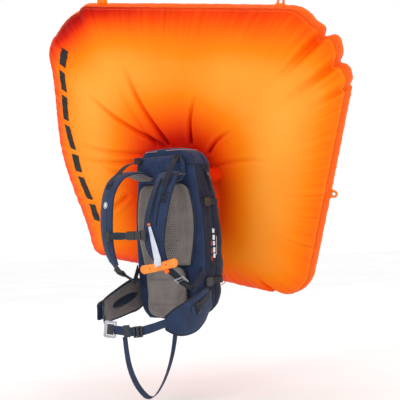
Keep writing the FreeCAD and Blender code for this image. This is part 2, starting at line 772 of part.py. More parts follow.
def make_inflation_system():
    side, rear = dim("cartridge_side"), dim("cartridge_rear")
    low, length = dim("cartridge_low"), dim("cartridge_length")
    bottle = new_body("cartridge")
    outline = new_sketch(bottle, "XZ_Plane", "0")
    radius, neck = "dims.cartridge_dia / 2", "dims.neck_dia / 2"
    top, wall = "dims.cartridge_length", "dims.cartridge_wall"
    polygon(outline, [
        ("0", "0"), (f"{radius} - 8", "0"), (radius, "8"), (radius, f"{top} - 24"),
        (neck, top), (f"{neck} - {wall}", top),
        (f"{radius} - {wall}", f"{top} - 24 - {wall}"), (f"{radius} - {wall}", "9"),
        (f"{radius} - 9", wall), ("0", wall),
    ])
    turned = bottle.newObject("PartDesign::Revolution", "cartridge_turned")
    turned.Profile = outline
    turned.ReferenceAxis = (outline, ["V_Axis"])
    turned.Angle = 360
    bottle.Placement.Base = V(side, rear, low)
    rod("cartridge_neck", "dims.neck_dia / 2 - 1", "dims.neck_length",
        place(V(side, rear, low + length)))
    block_low = low + length + dim("neck_length")
    size = dim("inflator_size")
    block = Part.makeBox(size, size, size, V(side - size / 2, rear - size / 2, block_low))
    bore = dim("pin_dia") / 2 + dim("pin_fit")
    top = block_low + size
    block = block.cut(Part.makeCylinder(bore, dim("pin_depth"),
                                        V(side, rear, top - dim("pin_depth"))))
    outlet = Part.makeCylinder(dim("hose_dia") / 2 - dim("hose_wall"), size / 3,
                               V(side, rear + size / 6, inflator_level()), Y_AXIS)
    feature("inflator_body", block.cut(outlet))
    shank_top = top + dim("pin_proud")
    shank = Part.makeCylinder(dim("pin_dia") / 2, dim("pin_depth") + dim("pin_proud") - 1,
                              V(side, rear, top - dim("pin_depth") + 1))
    head = Part.makeCylinder(dim("pin_head_dia") / 2, 3, V(side, rear, shank_top))
    feature("trigger_pin", shank.fuse(head).removeSplitter())


def make_pressure_gauge():
    """Round gauge on the inflator's inner side, open at the front, with needle and lens."""
    rim, depth, radius = dim("gauge_rim"), dim("gauge_depth"), dim("gauge_dia") / 2
    start = V(dim("cartridge_side") - dim("inflator_size") / 2 - dim("gap"),
              dim("cartridge_rear"), inflator_level())
    inward = X_AXIS * -1
    case = Part.makeCylinder(radius, depth, start, inward)
    hollow = Part.makeCylinder(radius - rim, depth - rim, start + inward * rim, inward)
    feature("pressure_gauge", case.cut(hollow))
    lens_depth = 1.5
    lens_start = start + inward * (depth - lens_depth)
    feature("gauge_lens", Part.makeCylinder(radius - rim - 0.1, lens_depth, lens_start, inward))
    hub = Part.makeCylinder(2, 1.4, start + inward * (rim + 3), inward)
    blade = Part.makeBox(1, 1.4, dim("needle_length"),
                         start + inward * (rim + 4.2) + V(0, -0.7, 0))
    feature("gauge_needle", hub.fuse(blade).removeSplitter())


def make_hose():
    start = hose_axis() + Y_AXIS * dim("gap")
    local = AIRBAG_PLACE.inverse().multVec(start)
    direction = AIRBAG_PLACE.inverse().Rotation.multVec(Y_AXIS)
    front = airbag_solid(0)
    probe = Part.makeLine(local, local + direction * dim("airbag_rear"))
    reach = min((vertex.Point - local).Length for vertex in probe.common(front).Vertexes)
    length = reach + 14
    hose_cell = f"B{len(DIMS) + 1}"
    sheet.set(hose_cell, str(round(length, 1)))
    sheet.setAlias(hose_cell, "hose_length")
    doc.recompute()
    rod("airbag_hose", "dims.hose_dia / 2", "dims.hose_length", place(start, X_AXIS, Y_AXIS),
        "dims.hose_dia / 2 - dims.hose_wall")
    return local, direction


# ---------------------------------------------------------------- airbag

def make_airbag(port, direction):
    skin = airbag_solid(0).cut(airbag_solid(dim("airbag_skin")))
    hole = Part.makeCylinder(dim("hose_dia") / 2 + dim("hose_clearance"),
                             dim("airbag_rear"), port, direction)
    front_half = Part.makeBox(3000, 400, 3000, V(-1500, -400, -1500))
    hole = hole.common(front_half)
    feature("airbag_shell", skin.cut(hole), AIRBAG_PLACE)


TOP_TABS = [-350, 287]
SIDE_TAB_LEVEL = -110


def make_airbag_tabs():
    """Hanging tabs along the airbag's rim, each with a metal eyelet."""
    width, length, depth = dim("tab_width"), dim("tab_length"), dim("tab_depth")
    radius = dim("eyelet_radius")
    tabs, eyelets = [], []
    top = dim("airbag_height") / 2
    places = [
        FreeCAD.Placement(V(across, 0, top + dim("gap")), FreeCAD.Rotation())
        for across in TOP_TABS
    ]
    above, below = (airbag_half_width(SIDE_TAB_LEVEL + shift) for shift in (10, -10))
    lean = math.atan((above - below) / 20)
    side = V(airbag_half_width(SIDE_TAB_LEVEL) + 2.4, 0, SIDE_TAB_LEVEL)
    places.append(FreeCAD.Placement(side, FreeCAD.Rotation(Y_AXIS, 90 + math.degrees(lean))))
    for spot in places:
        tab = Part.makeBox(width, depth, length, V(-width / 2, -depth / 2, 0))
        centre = V(0, -depth / 2, length * 0.55)
        tab = tab.cut(Part.makeCylinder(radius + 2, depth, centre, Y_AXIS))
        ring = Part.makeCylinder(radius + 2, depth, centre, Y_AXIS)
        ring = ring.cut(Part.makeCylinder(radius, depth, centre, Y_AXIS))
        for shape, kept in ((tab, tabs), (ring, eyelets)):
            shape.Placement = AIRBAG_PLACE * spot
            kept.append(shape)
    feature("airbag_tabs", Part.makeCompound(tabs))
    feature("airbag_eyelets", Part.makeCompound(eyelets))


def make_tethers():
    """Two straps that hold the airbag to the top of the bag's rear."""
    level = 250
    rear = bag_section(level)[1]
    straps = []
    front = airbag_solid(0)
    for side in (-1, 1):
        start = V(side * 30, rear + 3, level)
        local = AIRBAG_PLACE.inverse().multVec(start)
        direction = AIRBAG_PLACE.inverse().Rotation.multVec(Y_AXIS)
        probe = Part.makeLine(local, local + direction * 200)
        reach = min((vertex.Point - local).Length for vertex in probe.common(front).Vertexes)
        straps.append(Part.makeBox(25, reach - 5, 2, start - V(12.5, 0, 1)))
    feature("airbag_tethers", Part.makeCompound(straps))


# ---------------------------------------------------------------- free cords

LEG_STRAP_ROUTE = [(26.6, 5, -215), (25, -6, -275), (21, -29, -345), (15, -68, -408),
                   (6.5, -120, -450), (-2, -170, -404), (-7, -200, -345), (-9, -211, -290),
                   (-9.6, -214, -245)]
TOOL_CORD_ROUTE = [(78, 176, -84), (86, 203, -86), (90, 211, -106), (86, 201, -126),
                   (78, 170, -128)]


def make_leg_strap():
    """Flat strap from the bag's underside to the belt, hanging in an upright plane."""
    width, depth = dim("leg_strap_width"), dim("leg_strap_depth")
    start, end = V(*LEG_STRAP_ROUTE[0]), V(*LEG_STRAP_ROUTE[-1])
    across = V(end.y - start.y, start.x - end.x, 0).normalize()
    down = (V(*LEG_STRAP_ROUTE[1]) - start).normalize()
    flat = [start + (V(*point) - start - across * (V(*point) - start).dot(across))
            for point in LEG_STRAP_ROUTE]
    profile = rectangle_wire(start, across, across.cross(down).normalize(), width, depth)
    swept("leg_strap", flat, profile, width * depth, across)


def make_tool_cord():
    radius = dim("tool_cord_dia") / 2
    start, following = V(*TOOL_CORD_ROUTE[0]), V(*TOOL_CORD_ROUTE[1])
    ring = Part.Circle(start, (following - start).normalize(), radius).toShape()
    swept("tool_cord", TOOL_CORD_ROUTE, Part.Wire([ring]), math.pi * radius ** 2)


# ---------------------------------------------------------------- build and export

make_back_panel()
make_lumbar_pad()
make_top_yoke()
make_main_bag()
make_frame()
make_compression_straps()
make_shoulder_straps()
make_strap_adjusters()
make_strap_anchors()
make_load_lifters()
make_sternum_strap()
make_trigger()
make_cable_housing()
make_hip_wings()
make_belt()
hip_zip_start, hip_zip_end, hip_zip_normal = make_hip_pocket()
make_zip("side", V(109.8, 84, 246), V(119.4, 103, 176), V(0.98, 0.05, 0.14).normalize(), 0.2)
make_zip("hip", hip_zip_start, hip_zip_end, hip_zip_normal, 0.25)
make_inflation_system()
make_pressure_gauge()
make_airbag(*make_hose())
make_airbag_tabs()
make_tethers()
make_leg_strap()
make_tool_cord()
doc.recompute()

for item in doc.Objects:
    if "Invalid" in item.State or "Error" in item.State:
        raise RuntimeError(f"{item.Label} failed: {item.State}")
for item in NODES:
    if item.Shape.isNull() or not item.Shape.isValid():
        raise RuntimeError(f"{item.Label} has no valid shape")

os.makedirs("parts", exist_ok=True)
for item in NODES:
    item.Shape.exportStep(f"parts/{item.Label}.step")
print(len(NODES), "sub-parts")
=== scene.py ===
"""Looks of an avalanche airbag backpack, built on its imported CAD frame.

Lengths are in millimetres until a mesh is made.
"""

import math

import bmesh
import bpy
import numpy as np
from mathutils import Matrix, Vector, noise


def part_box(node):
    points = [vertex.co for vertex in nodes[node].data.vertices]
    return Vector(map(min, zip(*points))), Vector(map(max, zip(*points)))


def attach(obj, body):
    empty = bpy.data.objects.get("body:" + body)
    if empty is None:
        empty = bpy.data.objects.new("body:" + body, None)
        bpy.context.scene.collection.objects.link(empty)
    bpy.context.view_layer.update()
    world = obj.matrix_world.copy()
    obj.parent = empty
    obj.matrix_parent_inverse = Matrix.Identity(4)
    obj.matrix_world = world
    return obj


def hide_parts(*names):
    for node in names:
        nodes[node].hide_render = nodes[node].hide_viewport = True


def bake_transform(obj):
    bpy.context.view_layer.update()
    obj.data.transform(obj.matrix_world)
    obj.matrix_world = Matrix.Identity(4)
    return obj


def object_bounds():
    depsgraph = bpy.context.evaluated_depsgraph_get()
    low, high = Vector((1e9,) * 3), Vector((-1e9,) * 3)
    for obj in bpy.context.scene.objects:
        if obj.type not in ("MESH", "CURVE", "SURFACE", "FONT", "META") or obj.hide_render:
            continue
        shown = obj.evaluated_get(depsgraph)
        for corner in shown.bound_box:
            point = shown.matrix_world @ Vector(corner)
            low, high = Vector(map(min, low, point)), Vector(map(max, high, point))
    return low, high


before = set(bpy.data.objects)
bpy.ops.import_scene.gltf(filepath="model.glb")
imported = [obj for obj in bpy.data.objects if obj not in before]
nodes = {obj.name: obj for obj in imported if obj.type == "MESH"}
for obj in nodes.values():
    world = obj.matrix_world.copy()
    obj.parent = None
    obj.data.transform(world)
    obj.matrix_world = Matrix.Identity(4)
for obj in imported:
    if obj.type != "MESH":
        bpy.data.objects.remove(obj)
cad_low, cad_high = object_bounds()
scene = bpy.context.scene
MM = 0.001
X, Y, Z = np.eye(3)


# ------------------------------------------------------------------ materials

def linear(colour):
    """A colour given as 0 to 255 in sRGB, as the shader wants it."""
    parts = [c / 255 for c in colour]
    parts = [c / 12.92 if c <= 0.04045 else ((c + 0.055) / 1.055) ** 2.4 for c in parts]
    return (*parts, 1)


class Paint:
    """A material under construction."""

    def __init__(self, name, rough, metal=0.0):
        self.material = bpy.data.materials.new(name)
        self.material.use_nodes = True
        self.tree = self.material.node_tree
        self.shader = self.tree.nodes["Principled BSDF"]
        self.shader.inputs["Roughness"].default_value = rough
        self.shader.inputs["Metallic"].default_value = metal
        self.coords = self.add("ShaderNodeTexCoord")

    def add(self, kind, **settings):
        node = self.tree.nodes.new(kind)
        for key, value in settings.items():
            setattr(node, key, value)
        return node

    def link(self, output, target):
        self.tree.links.new(output, target)

    def noise(self, scale, detail=3.0, stretch=(1, 1, 1), space="Object"):
        node = self.add("ShaderNodeTexNoise")
        node.inputs["Scale"].default_value = scale
        node.inputs["Detail"].default_value = detail
        mapping = self.add("ShaderNodeMapping")
        mapping.inputs["Scale"].default_value = stretch
        self.link(self.coords.outputs[space], mapping.inputs["Vector"])
        self.link(mapping.outputs["Vector"], node.inputs["Vector"])
        return node.outputs["Fac"]

    def threads(self, pitch, direction, space, distortion=0.0):
        node = self.add("ShaderNodeTexWave", bands_direction=direction)
        node.inputs["Scale"].default_value = 0.314 / (pitch * MM)
        node.inputs["Distortion"].default_value = distortion
        self.link(self.coords.outputs[space], node.inputs["Vector"])
        return node.outputs["Fac"]

    def sum(self, first, second, share=0.5):
        """first and second mixed, the second with this share."""
        node = self.add("ShaderNodeMix", data_type="FLOAT")
        node.inputs[0].default_value = share
        self.link(first, node.inputs[2])
        self.link(second, node.inputs[3])
        return node.outputs[0]

    def ramp(self, factor, stops):
        node = self.add("ShaderNodeValToRGB")
        while len(node.color_ramp.elements) < len(stops):
            node.color_ramp.elements.new(0.5)
        for element, (spot, colour) in zip(node.color_ramp.elements, stops):
            element.position = spot
            element.color = linear(colour)
        self.link(factor, node.inputs["Fac"])
        return node.outputs["Color"]

    def blend(self, factor, first, second, mode="MIX"):
        node = self.add("ShaderNodeMix", data_type="RGBA", blend_type=mode)
        if isinstance(factor, float):
            node.inputs[0].default_value = factor
        else:
            self.link(factor, node.inputs[0])
        for value, socket in ((first, node.inputs[6]), (second, node.inputs[7])):
            if isinstance(value, tuple):
                socket.default_value = linear(value)
            else:
                self.link(value, socket)
        return node.outputs[2]

    def colour(self, output):
        self.link(output, self.shader.inputs["Base Color"])

    def bump(self, height, strength, distance_mm):
        node = self.add("ShaderNodeBump")
        node.inputs["Strength"].default_value = strength
        node.inputs["Distance"].default_value = distance_mm * MM
        self.link(height, node.inputs["Height"])
        self.link(node.outputs["Normal"], self.shader.inputs["Normal"])

    def roughness(self, factor, low, high):
        node = self.add("ShaderNodeMapRange")
        node.inputs["To Min"].default_value = low
        node.inputs["To Max"].default_value = high
        self.link(factor, node.inputs["Value"])
        self.link(node.outputs["Result"], self.shader.inputs["Roughness"])


def woven(name, light, dark, pitch=1.1, rough=0.8, sheen=0.3, relief=0.35, mapped=False, wear=0.35):
    """Plain-woven cloth: crossing threads, slow drift of tone, rubbed edges."""
    paint = Paint(name, rough)
    space = "UV" if mapped else "Object"
    weave = paint.sum(paint.threads(pitch, "X", space), paint.threads(pitch, "Y", space))
    if not mapped:
        weave = paint.sum(weave, paint.threads(pitch, "Z", space), 0.33)
    drift = paint.noise(22, 4)
    tone = paint.sum(drift, weave, 0.35)
    body = paint.ramp(tone, [(0.25, dark), (0.72, light)])
    edges = paint.add("ShaderNodeNewGeometry").outputs["Pointiness"]
    worn = paint.add("ShaderNodeMapRange")
    worn.inputs["From Min"].default_value = 0.52
    worn.inputs["From Max"].default_value = 0.62
    worn.inputs["To Max"].default_value = wear
    paint.link(edges, worn.inputs["Value"])
    rubbed = tuple(min(255, int(c * 1.25 + 22)) for c in light)
    paint.colour(paint.blend(worn.outputs["Result"], body, rubbed))
    paint.roughness(drift, rough - 0.1, rough + 0.1)
    paint.bump(paint.sum(weave, paint.noise(160, 3), 0.4), relief, 0.35)
    paint.shader.inputs["Sheen Weight"].default_value = sheen * 0.4
    paint.shader.inputs["Sheen Roughness"].default_value = 0.45
    paint.shader.inputs["Specular IOR Level"].default_value = 0.22
    return paint.material


def webbing_paint(name, light, dark, rib=1.6, sheen=0.2):
    """Ribbed webbing: ribs across the strap and fine threads along it, on the strap's own UV."""
    paint = Paint(name, 0.72)
    ribs = paint.threads(rib, "X", "UV", 0.4)
    along = paint.threads(rib * 0.7, "Y", "UV", 0.2)
    height = paint.sum(ribs, along, 0.35)
    tone = paint.sum(height, paint.noise(35, 4), 0.5)
    paint.colour(paint.ramp(tone, [(0.2, dark), (0.75, light)]))
    paint.bump(height, 0.55, 0.4)
    paint.shader.inputs["Sheen Weight"].default_value = sheen * 0.4
    paint.shader.inputs["Specular IOR Level"].default_value = 0.22
    return paint.material


def spacer_mesh(name, light, dark):
    """Knitted spacer mesh: small round openings in staggered rows."""
    paint = Paint(name, 0.9)
    cells = paint.add("ShaderNodeTexVoronoi", feature="F1")
    cells.inputs["Scale"].default_value = 330
    cells.inputs["Randomness"].default_value = 0.25
    paint.link(paint.coords.outputs["Object"], cells.inputs["Vector"])
    tone = paint.sum(cells.outputs["Distance"], paint.noise(26, 4), 0.45)
    paint.colour(paint.ramp(tone, [(0.2, dark), (0.62, light)]))
    paint.bump(cells.outputs["Distance"], 0.6, 0.5)
    paint.shader.inputs["Sheen Weight"].default_value = 0.2
    return paint.material


def moulded(name, light, dark, rough=0.45, grain=900):
    """Moulded plastic: fine spark-eroded grain and faint flow marks."""
    paint = Paint(name, rough)
    grainy = paint.noise(grain, 2)
    flow = paint.noise(40, 4, (1, 3, 1))
    paint.colour(paint.ramp(paint.sum(flow, grainy, 0.3), [(0.3, dark), (0.7, light)]))
    paint.roughness(flow, rough - 0.1, rough + 0.14)
    paint.bump(grainy, 0.16, 0.15)
    return paint.material


def metal(name, light, dark, rough=0.28):
    """Brushed or plated metal with fine scratches and handling marks."""
    paint = Paint(name, rough, 1.0)
    scratches = paint.noise(700, 3, (0.12, 1, 1))
    smears = paint.noise(60, 5)
    paint.colour(paint.ramp(paint.sum(smears, scratches, 0.4), [(0.3, dark), (0.7, light)]))
    paint.roughness(paint.sum(smears, scratches, 0.5), rough - 0.1, rough + 0.2)
    paint.bump(scratches, 0.12, 0.08)
    return paint.material


def airbag_cloth():
    """Coated nylon under tension, its colour carrying painted light and shade: painted light where it stands
    proud, painted red shade in the folds.
    """
    paint = Paint("airbag_cloth", 0.5)
    # this point attribute holds painted light and shade, which the ramp below turns from deep red shade to a
    # light orange highlight
    painted_shading = paint.add("ShaderNodeAttribute", attribute_name="painted_shading").outputs["Fac"]
    drift = paint.noise(5, 4)
    grid = paint.sum(paint.threads(5.2, "X", "Object"), paint.threads(5.2, "Z", "Object"))
    tone = paint.sum(painted_shading, drift, 0.12)
    tone = paint.sum(tone, grid, 0.03)
    paint.colour(paint.ramp(tone, [
        (0.04, (164, 6, 1)), (0.2, (206, 26, 1)), (0.36, (238, 66, 2)),
        (0.52, (248, 98, 4)), (0.7, (250, 128, 10)), (0.92, (250, 166, 62))]))
    paint.roughness(drift, 0.42, 0.6)
    weave = paint.sum(paint.threads(1.0, "X", "Object"), paint.threads(1.0, "Z", "Object"))
    paint.bump(paint.sum(weave, grid, 0.5), 0.12, 0.3)
    paint.shader.inputs["Specular IOR Level"].default_value = 0.06
    return paint.material


NAVY = woven("navy_cloth", (40, 57, 92), (20, 32, 56))
NAVY_MAPPED = woven("navy_strap_cloth", (44, 62, 96), (22, 34, 58), mapped=True)
NAVY_DARK = woven("navy_side_cloth", (18, 32, 58), (6, 12, 28), pitch=1.4)
EDGING = woven("edge_binding", (26, 33, 50), (9, 12, 22), pitch=0.9, relief=0.25)
GREY = spacer_mesh("grey_spacer_mesh", (124, 116, 112), (82, 75, 73))
LINING = spacer_mesh("wing_lining_mesh", (102, 95, 94), (66, 60, 60))
BLACK_WEB = webbing_paint("black_webbing_weave", (34, 40, 54), (8, 10, 18))
NAVY_WEB = webbing_paint("navy_webbing_weave", (44, 60, 90), (20, 30, 52))
WHITE_WEB = webbing_paint("white_webbing_weave", (226, 229, 240), (168, 172, 190))
ORANGE_WEB = webbing_paint("orange_trim_weave", (250, 120, 30), (214, 60, 10))
ELASTIC = webbing_paint("gathered_elastic_weave", (66, 80, 86), (20, 28, 42), rib=2.4)
THREAD = woven("stitch_thread", (88, 104, 138), (56, 70, 100), pitch=0.5, sheen=0.1)
THREAD_ORANGE = woven("airbag_thread", (255, 168, 90), (226, 96, 30), pitch=0.5, sheen=0.1)
BLACK = moulded("black_acetal", (40, 42, 47), (18, 19, 23), 0.42)
LENS_GREY = moulded("frame_sheet_plastic", (70, 74, 78), (48, 50, 54), 0.5)
ORANGE = moulded("orange_grip_rubber", (252, 150, 46), (238, 112, 18), 0.5)
RED = moulded("red_plastic_cap", (206, 30, 24), (150, 14, 12), 0.4)
COPPER = metal("copper_ferrule", (222, 128, 74), (150, 74, 40), 0.3)
CHROME = metal("plated_buckle", (198, 200, 206), (138, 140, 148), 0.3)
STEEL = metal("zip_steel", (150, 152, 158), (92, 94, 100), 0.34)
ALUMINIUM = metal("cartridge_aluminium", (206, 210, 214), (160, 164, 170), 0.32)
BRASS = metal("brass_fitting", (206, 170, 96), (150, 116, 52), 0.3)
INK = moulded("black_print", (16, 13, 14), (6, 5, 6), 0.6)
WHITE_INK = moulded("white_print", (238, 240, 244), (206, 208, 214), 0.6)
RED_INK = moulded("red_print", (214, 60, 50), (176, 34, 30), 0.6)
CORD_PAINT = webbing_paint("accessory_cord_sheath", (244, 110, 48), (206, 66, 20), rib=2.0)
AIRBAG = airbag_cloth()
ORANGE_CLOTH = woven("airbag_tab_cloth", (252, 122, 22), (226, 74, 6), pitch=1.0, sheen=0.1)
KNOB = woven("panel_knob_mesh", (72, 66, 65), (44, 40, 40), pitch=1.0, sheen=0.1)


def clear_lens():
    paint = Paint("gauge_lens_glass", 0.06)
    paint.shader.inputs["Transmission Weight"].default_value = 0.92
    paint.shader.inputs["IOR"].default_value = 1.46
    smears = paint.noise(90, 4)
    paint.colour(paint.ramp(smears, [(0.3, (226, 232, 236)), (0.7, (244, 248, 250))]))
    paint.roughness(smears, 0.03, 0.14)
    return paint.material


LENS = clear_lens()


# ------------------------------------------------------------------ curves and meshes

def unit(vectors):
    vectors = np.asarray(vectors, float)
    return vectors / np.maximum(np.linalg.norm(vectors, axis=-1, keepdims=True), 1e-9)


def through(rows, count, closed=False):
    """A smooth curve through rows of numbers, sampled evenly between them."""
    rows = np.asarray(rows, float)
    if rows.ndim == 1:
        return through(rows[:, None], count, closed)[:, 0]
    total = len(rows)
    if closed:
        padded = np.vstack([rows[-1:], rows, rows[:2]])
        steps = np.linspace(0, total, count, endpoint=False)
    else:
        first = 2 * rows[:1] - rows[1:2]
        last = 2 * rows[-1:] - rows[-2:-1]
        padded = np.vstack([first, rows, last])
        steps = np.linspace(0, total - 1, count)
    index = np.minimum(steps.astype(int), total - 1 if closed else total - 2)
    part = (steps - index)[:, None]
    a, b, c, d = (padded[index + shift] for shift in range(4))
    return 0.5 * (2 * b + (c - a) * part + (2 * a - 5 * b + 4 * c - d) * part ** 2
                  + (3 * b - a - 3 * c + d) * part ** 3)


def lengths(points):
    steps = np.linalg.norm(np.diff(points, axis=0), axis=1)
    return np.concatenate([[0], np.cumsum(steps)])


def evenly(points, count):
    """The same line with its points a constant distance apart."""
    far = lengths(points)
    spots = np.linspace(0, far[-1], count)
    return np.stack([np.interp(spots, far, points[:, axis]) for axis in range(3)], 1)


def make(name, points, faces, material, uvs=None, body="root", smooth=True, replaces=(), slot=None):
    mesh = bpy.data.meshes.new(name)
    mesh.from_pydata([tuple(p) for p in np.asarray(points, float) * MM], [], faces)
    if uvs is not None:
        layer = mesh.uv_layers.new(name="UVMap")
        layer.data.foreach_set("uv", (np.asarray(uvs, float) * MM).ravel())
    mesh.materials.append(material)
    mesh.validate()
    mesh.shade_smooth() if smooth else mesh.shade_flat()
    piece = bpy.data.objects.new(name, mesh)
    scene.collection.objects.link(piece)
    if body:
        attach(piece, body)
    if replaces:
        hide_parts(*replaces)
    return piece


def outward(piece):
    """Turns every face of a closed mesh outward."""
    work = bmesh.new()
    work.from_mesh(piece.data)
    bmesh.ops.recalc_face_normals(work, faces=work.faces)
    work.to_mesh(piece.data)
    work.free()
    return piece


def loft(name, rings, material, caps=True, closed=True, **kind):
    """A skin over rings of equal count, with UVs in millimetres along and around."""
    rings = np.asarray(rings, float)
    count, size = rings.shape[:2]
    along = lengths(rings.mean(1))
    middle = rings[count // 2]
    around = lengths(np.vstack([middle, middle[:1]]))
    faces, uvs = [], []
    for i in range(count - 1):
        for j in range(size if closed else size - 1):
            k = (j + 1) % size
            faces.append((i * size + j, i * size + k, (i + 1) * size + k, (i + 1) * size + j))
            uvs += [(along[i], around[j]), (along[i], around[j + 1]),
                    (along[i + 1], around[j + 1]), (along[i + 1], around[j])]
    if caps:
        faces.append(tuple(reversed(range(size))))
        faces.append(tuple(range((count - 1) * size, count * size)))
        uvs += [(0, 0)] * (2 * size)
    piece = make(name, rings.reshape(-1, 3), faces, material, uvs, **kind)
    return outward(piece) if caps else piece


def merge(name, parts, material, **kind):
    """One mesh from several (points, faces, uvs)."""
    points, faces, uvs, shift = [], [], [], 0
    for part_points, part_faces, part_uvs in parts:
        points.append(part_points)
        faces += [tuple(v + shift for v in face) for face in part_faces]
        uvs += list(part_uvs)
        shift += len(part_points)
    return outward(make(name, np.vstack(points), faces, material, uvs, **kind))


def ring_part(rings):
    """(points, faces, uvs) of a capped loft, for merge."""
    rings = np.asarray(rings, float)
    count, size = rings.shape[:2]
    along = lengths(rings.mean(1))
    around = lengths(np.vstack([rings[0], rings[0][:1]]))
    faces, uvs = [], []
    for i in range(count - 1):
        for j in range(size):
            k = (j + 1) % size
            faces.append((i * size + j, i * size + k, (i + 1) * size + k, (i + 1) * size + j))
            uvs += [(along[i], around[j]), (along[i], around[j + 1]),
                    (along[i + 1], around[j + 1]), (along[i + 1], around[j])]
    faces.append(tuple(reversed(range(size))))
    faces.append(tuple(range((count - 1) * size, count * size)))
    uvs += [(0, 0)] * (2 * size)
    return rings.reshape(-1, 3), faces, uvs


def tube_rings(path, radius, sides=8):
    path = np.asarray(path, float)
    tangent = unit(np.gradient(path, axis=0))
    helper = unit(np.cross(tangent[0], Z if abs(tangent[0][2]) < 0.9 else X))
    rings = []
    for point, along in zip(path, tangent):
        helper = unit(helper - along * (helper @ along))
        other = np.cross(along, helper)
        turn = np.linspace(0, 2 * math.pi, sides, endpoint=False)
        rings.append(point + radius * (np.cos(turn)[:, None] * helper + np.sin(turn)[:, None] * other))
    return np.array(rings)


def stitches(paths, pitch=3.6, size=2.3, thick=0.35):
    """Parts for merge: a row of thread stitches along each path."""
    parts = []
    for path in paths:
        path = np.asarray(path, float)
        count = max(int(lengths(path)[-1] / pitch), 2)
        even = evenly(path, count)
        tangent = unit(np.gradient(even, axis=0))
        for point, along in zip(even, tangent):
            side = unit(np.cross(along, Z if abs(along[2]) < 0.9 else X))
            up = np.cross(side, along)
            corners = [point - along * size / 2, point + along * size / 2, point + side * thick,
                       point - side * thick, point + up * thick, point - up * thick]
            faces = [(0, 2, 4), (0, 4, 3), (0, 3, 5), (0, 5, 2), (1, 4, 2), (1, 3, 4), (1, 5, 3), (1, 2, 5)]
            parts.append((np.array(corners), faces, [(0, 0)] * 24))
    return parts


def strap_frames(route, across, count):
    """Points, sides and normals of a strap along its route."""
    points = evenly(through(route, count * 3), count)
    tangent = unit(np.gradient(points, axis=0))
    across = np.asarray(across, float)
    if across.ndim == 1:
        across = np.repeat(across[None], count, 0)
    else:
        across = through(across, count)
    side = unit(across - tangent * np.sum(across * tangent, axis=1, keepdims=True))
    return points, side, np.cross(side, tangent)


def webbing_part(route, widths, depth, across, count=40, ruffle=None):
    """(points, faces, uvs) of flat webbing with raised selvages."""
    points, side, normal = strap_frames(route, across, count)
    width = through(widths, count)
    shares = np.array([-1, -0.96, -0.8, -0.4, 0, 0.4, 0.8, 0.96, 1])
    thick = np.array([0.45, 0.95, 1.12, 0.96, 1, 0.96, 1.12, 0.95, 0.45]) * depth / 2
    rings = []
    for i in range(count):
        lift = ruffle(i / (count - 1)) if ruffle else 0.0
        top = points[i] + side[i] * (shares * width[i] / 2)[:, None] + normal[i] * (thick + lift)[:, None]
        low = points[i] + side[i] * (shares[::-1] * width[i] / 2)[:, None]
        low = low - normal[i] * (thick[::-1] - lift)[:, None]
        rings.append(np.vstack([top, low]))
    return ring_part(np.array(rings))


def webbing(name, route, widths, depth, across, material, count=40, ruffle=None, **kind):
    part = webbing_part(route, widths, depth, across, count, ruffle)
    return merge(name, [part], material, **kind)


def crowned_rings(route, widths, across, thick, count=90, ends=(8, 8), shape=None, around=48):
    """Rings of a padded strap: crowned faces that draw in to thin edges, with rounded ends."""
    points, side, normal = strap_frames(route, across, count)
    width = through(widths, count)
    far = lengths(points)
    rings = []
    turn = np.linspace(0, 2 * math.pi, around, endpoint=False)
    share = np.sign(np.cos(turn)) * np.abs(np.cos(turn)) ** 0.8
    crown = np.sign(np.sin(turn)) * np.abs(np.sin(turn)) ** 0.55
    for i in range(count):
        tip = 1.0
        for reach, radius in ((far[i], ends[0]), (far[-1] - far[i], ends[1])):
            if reach < radius:
                tip = min(tip, math.sqrt(max(1 - (1 - reach / radius) ** 2, 0.02)))
        half = width[i] / 2 * (0.35 + 0.65 * tip if tip < 1 else 1)
        deep = thick / 2 * tip * np.ones(around)
        if shape:
            deep = deep * shape(i / (count - 1), share, crown > 0)
        rings.append(points[i] + side[i] * (share * half)[:, None] + normal[i] * (crown * deep)[:, None])
    return np.array(rings), points, side, normal, width


def apply_modifiers(piece):
    graph = bpy.context.evaluated_depsgraph_get()
    made = bpy.data.meshes.new_from_object(piece.evaluated_get(graph))
    piece.modifiers.clear()
    piece.data = made
    return piece


def inflate(piece, cap, pressure=4.0, voxel=5.0, steps=20):
    """Lets a closed piece swell under pressure as cloth, moving no point further than cap."""
    remesh = piece.modifiers.new("Remesh", "REMESH")
    remesh.mode = "VOXEL"
    remesh.voxel_size = voxel * MM
    remesh.use_smooth_shade = True
    apply_modifiers(piece)
    rest = np.array([v.co for v in piece.data.vertices], float)
    cloth = piece.modifiers.new("Cloth", "CLOTH")
    cloth.settings.use_pressure = True
    cloth.settings.uniform_pressure_force = pressure
    cloth.settings.effector_weights.gravity = 0
    cloth.settings.quality = 4
    cloth.point_cache.frame_start = 1
    cloth.point_cache.frame_end = steps
    for step in range(1, steps + 1):
        scene.frame_set(step)
    graph = bpy.context.evaluated_depsgraph_get()
    moved = piece.evaluated_get(graph).to_mesh()
    swollen = np.array([v.co for v in moved.vertices], float)
    piece.evaluated_get(graph).to_mesh_clear()
    piece.modifiers.clear()
    scene.frame_set(1)
    shift = swollen - rest
    shift -= shift.mean(0)
    far = np.linalg.norm(shift, axis=1, keepdims=True)
    shift *= np.minimum(1, cap * MM / np.maximum(far, 1e-9))
    piece.data.vertices.foreach_set("co", (rest + shift).ravel())
    subdivide = piece.modifiers.new("Subdivision", "SUBSURF")
    subdivide.levels = subdivide.render_levels = 1
    apply_modifiers(piece)
    piece.data.shade_smooth()
    return piece


# ------------------------------------------------------------------ camera, light and floor

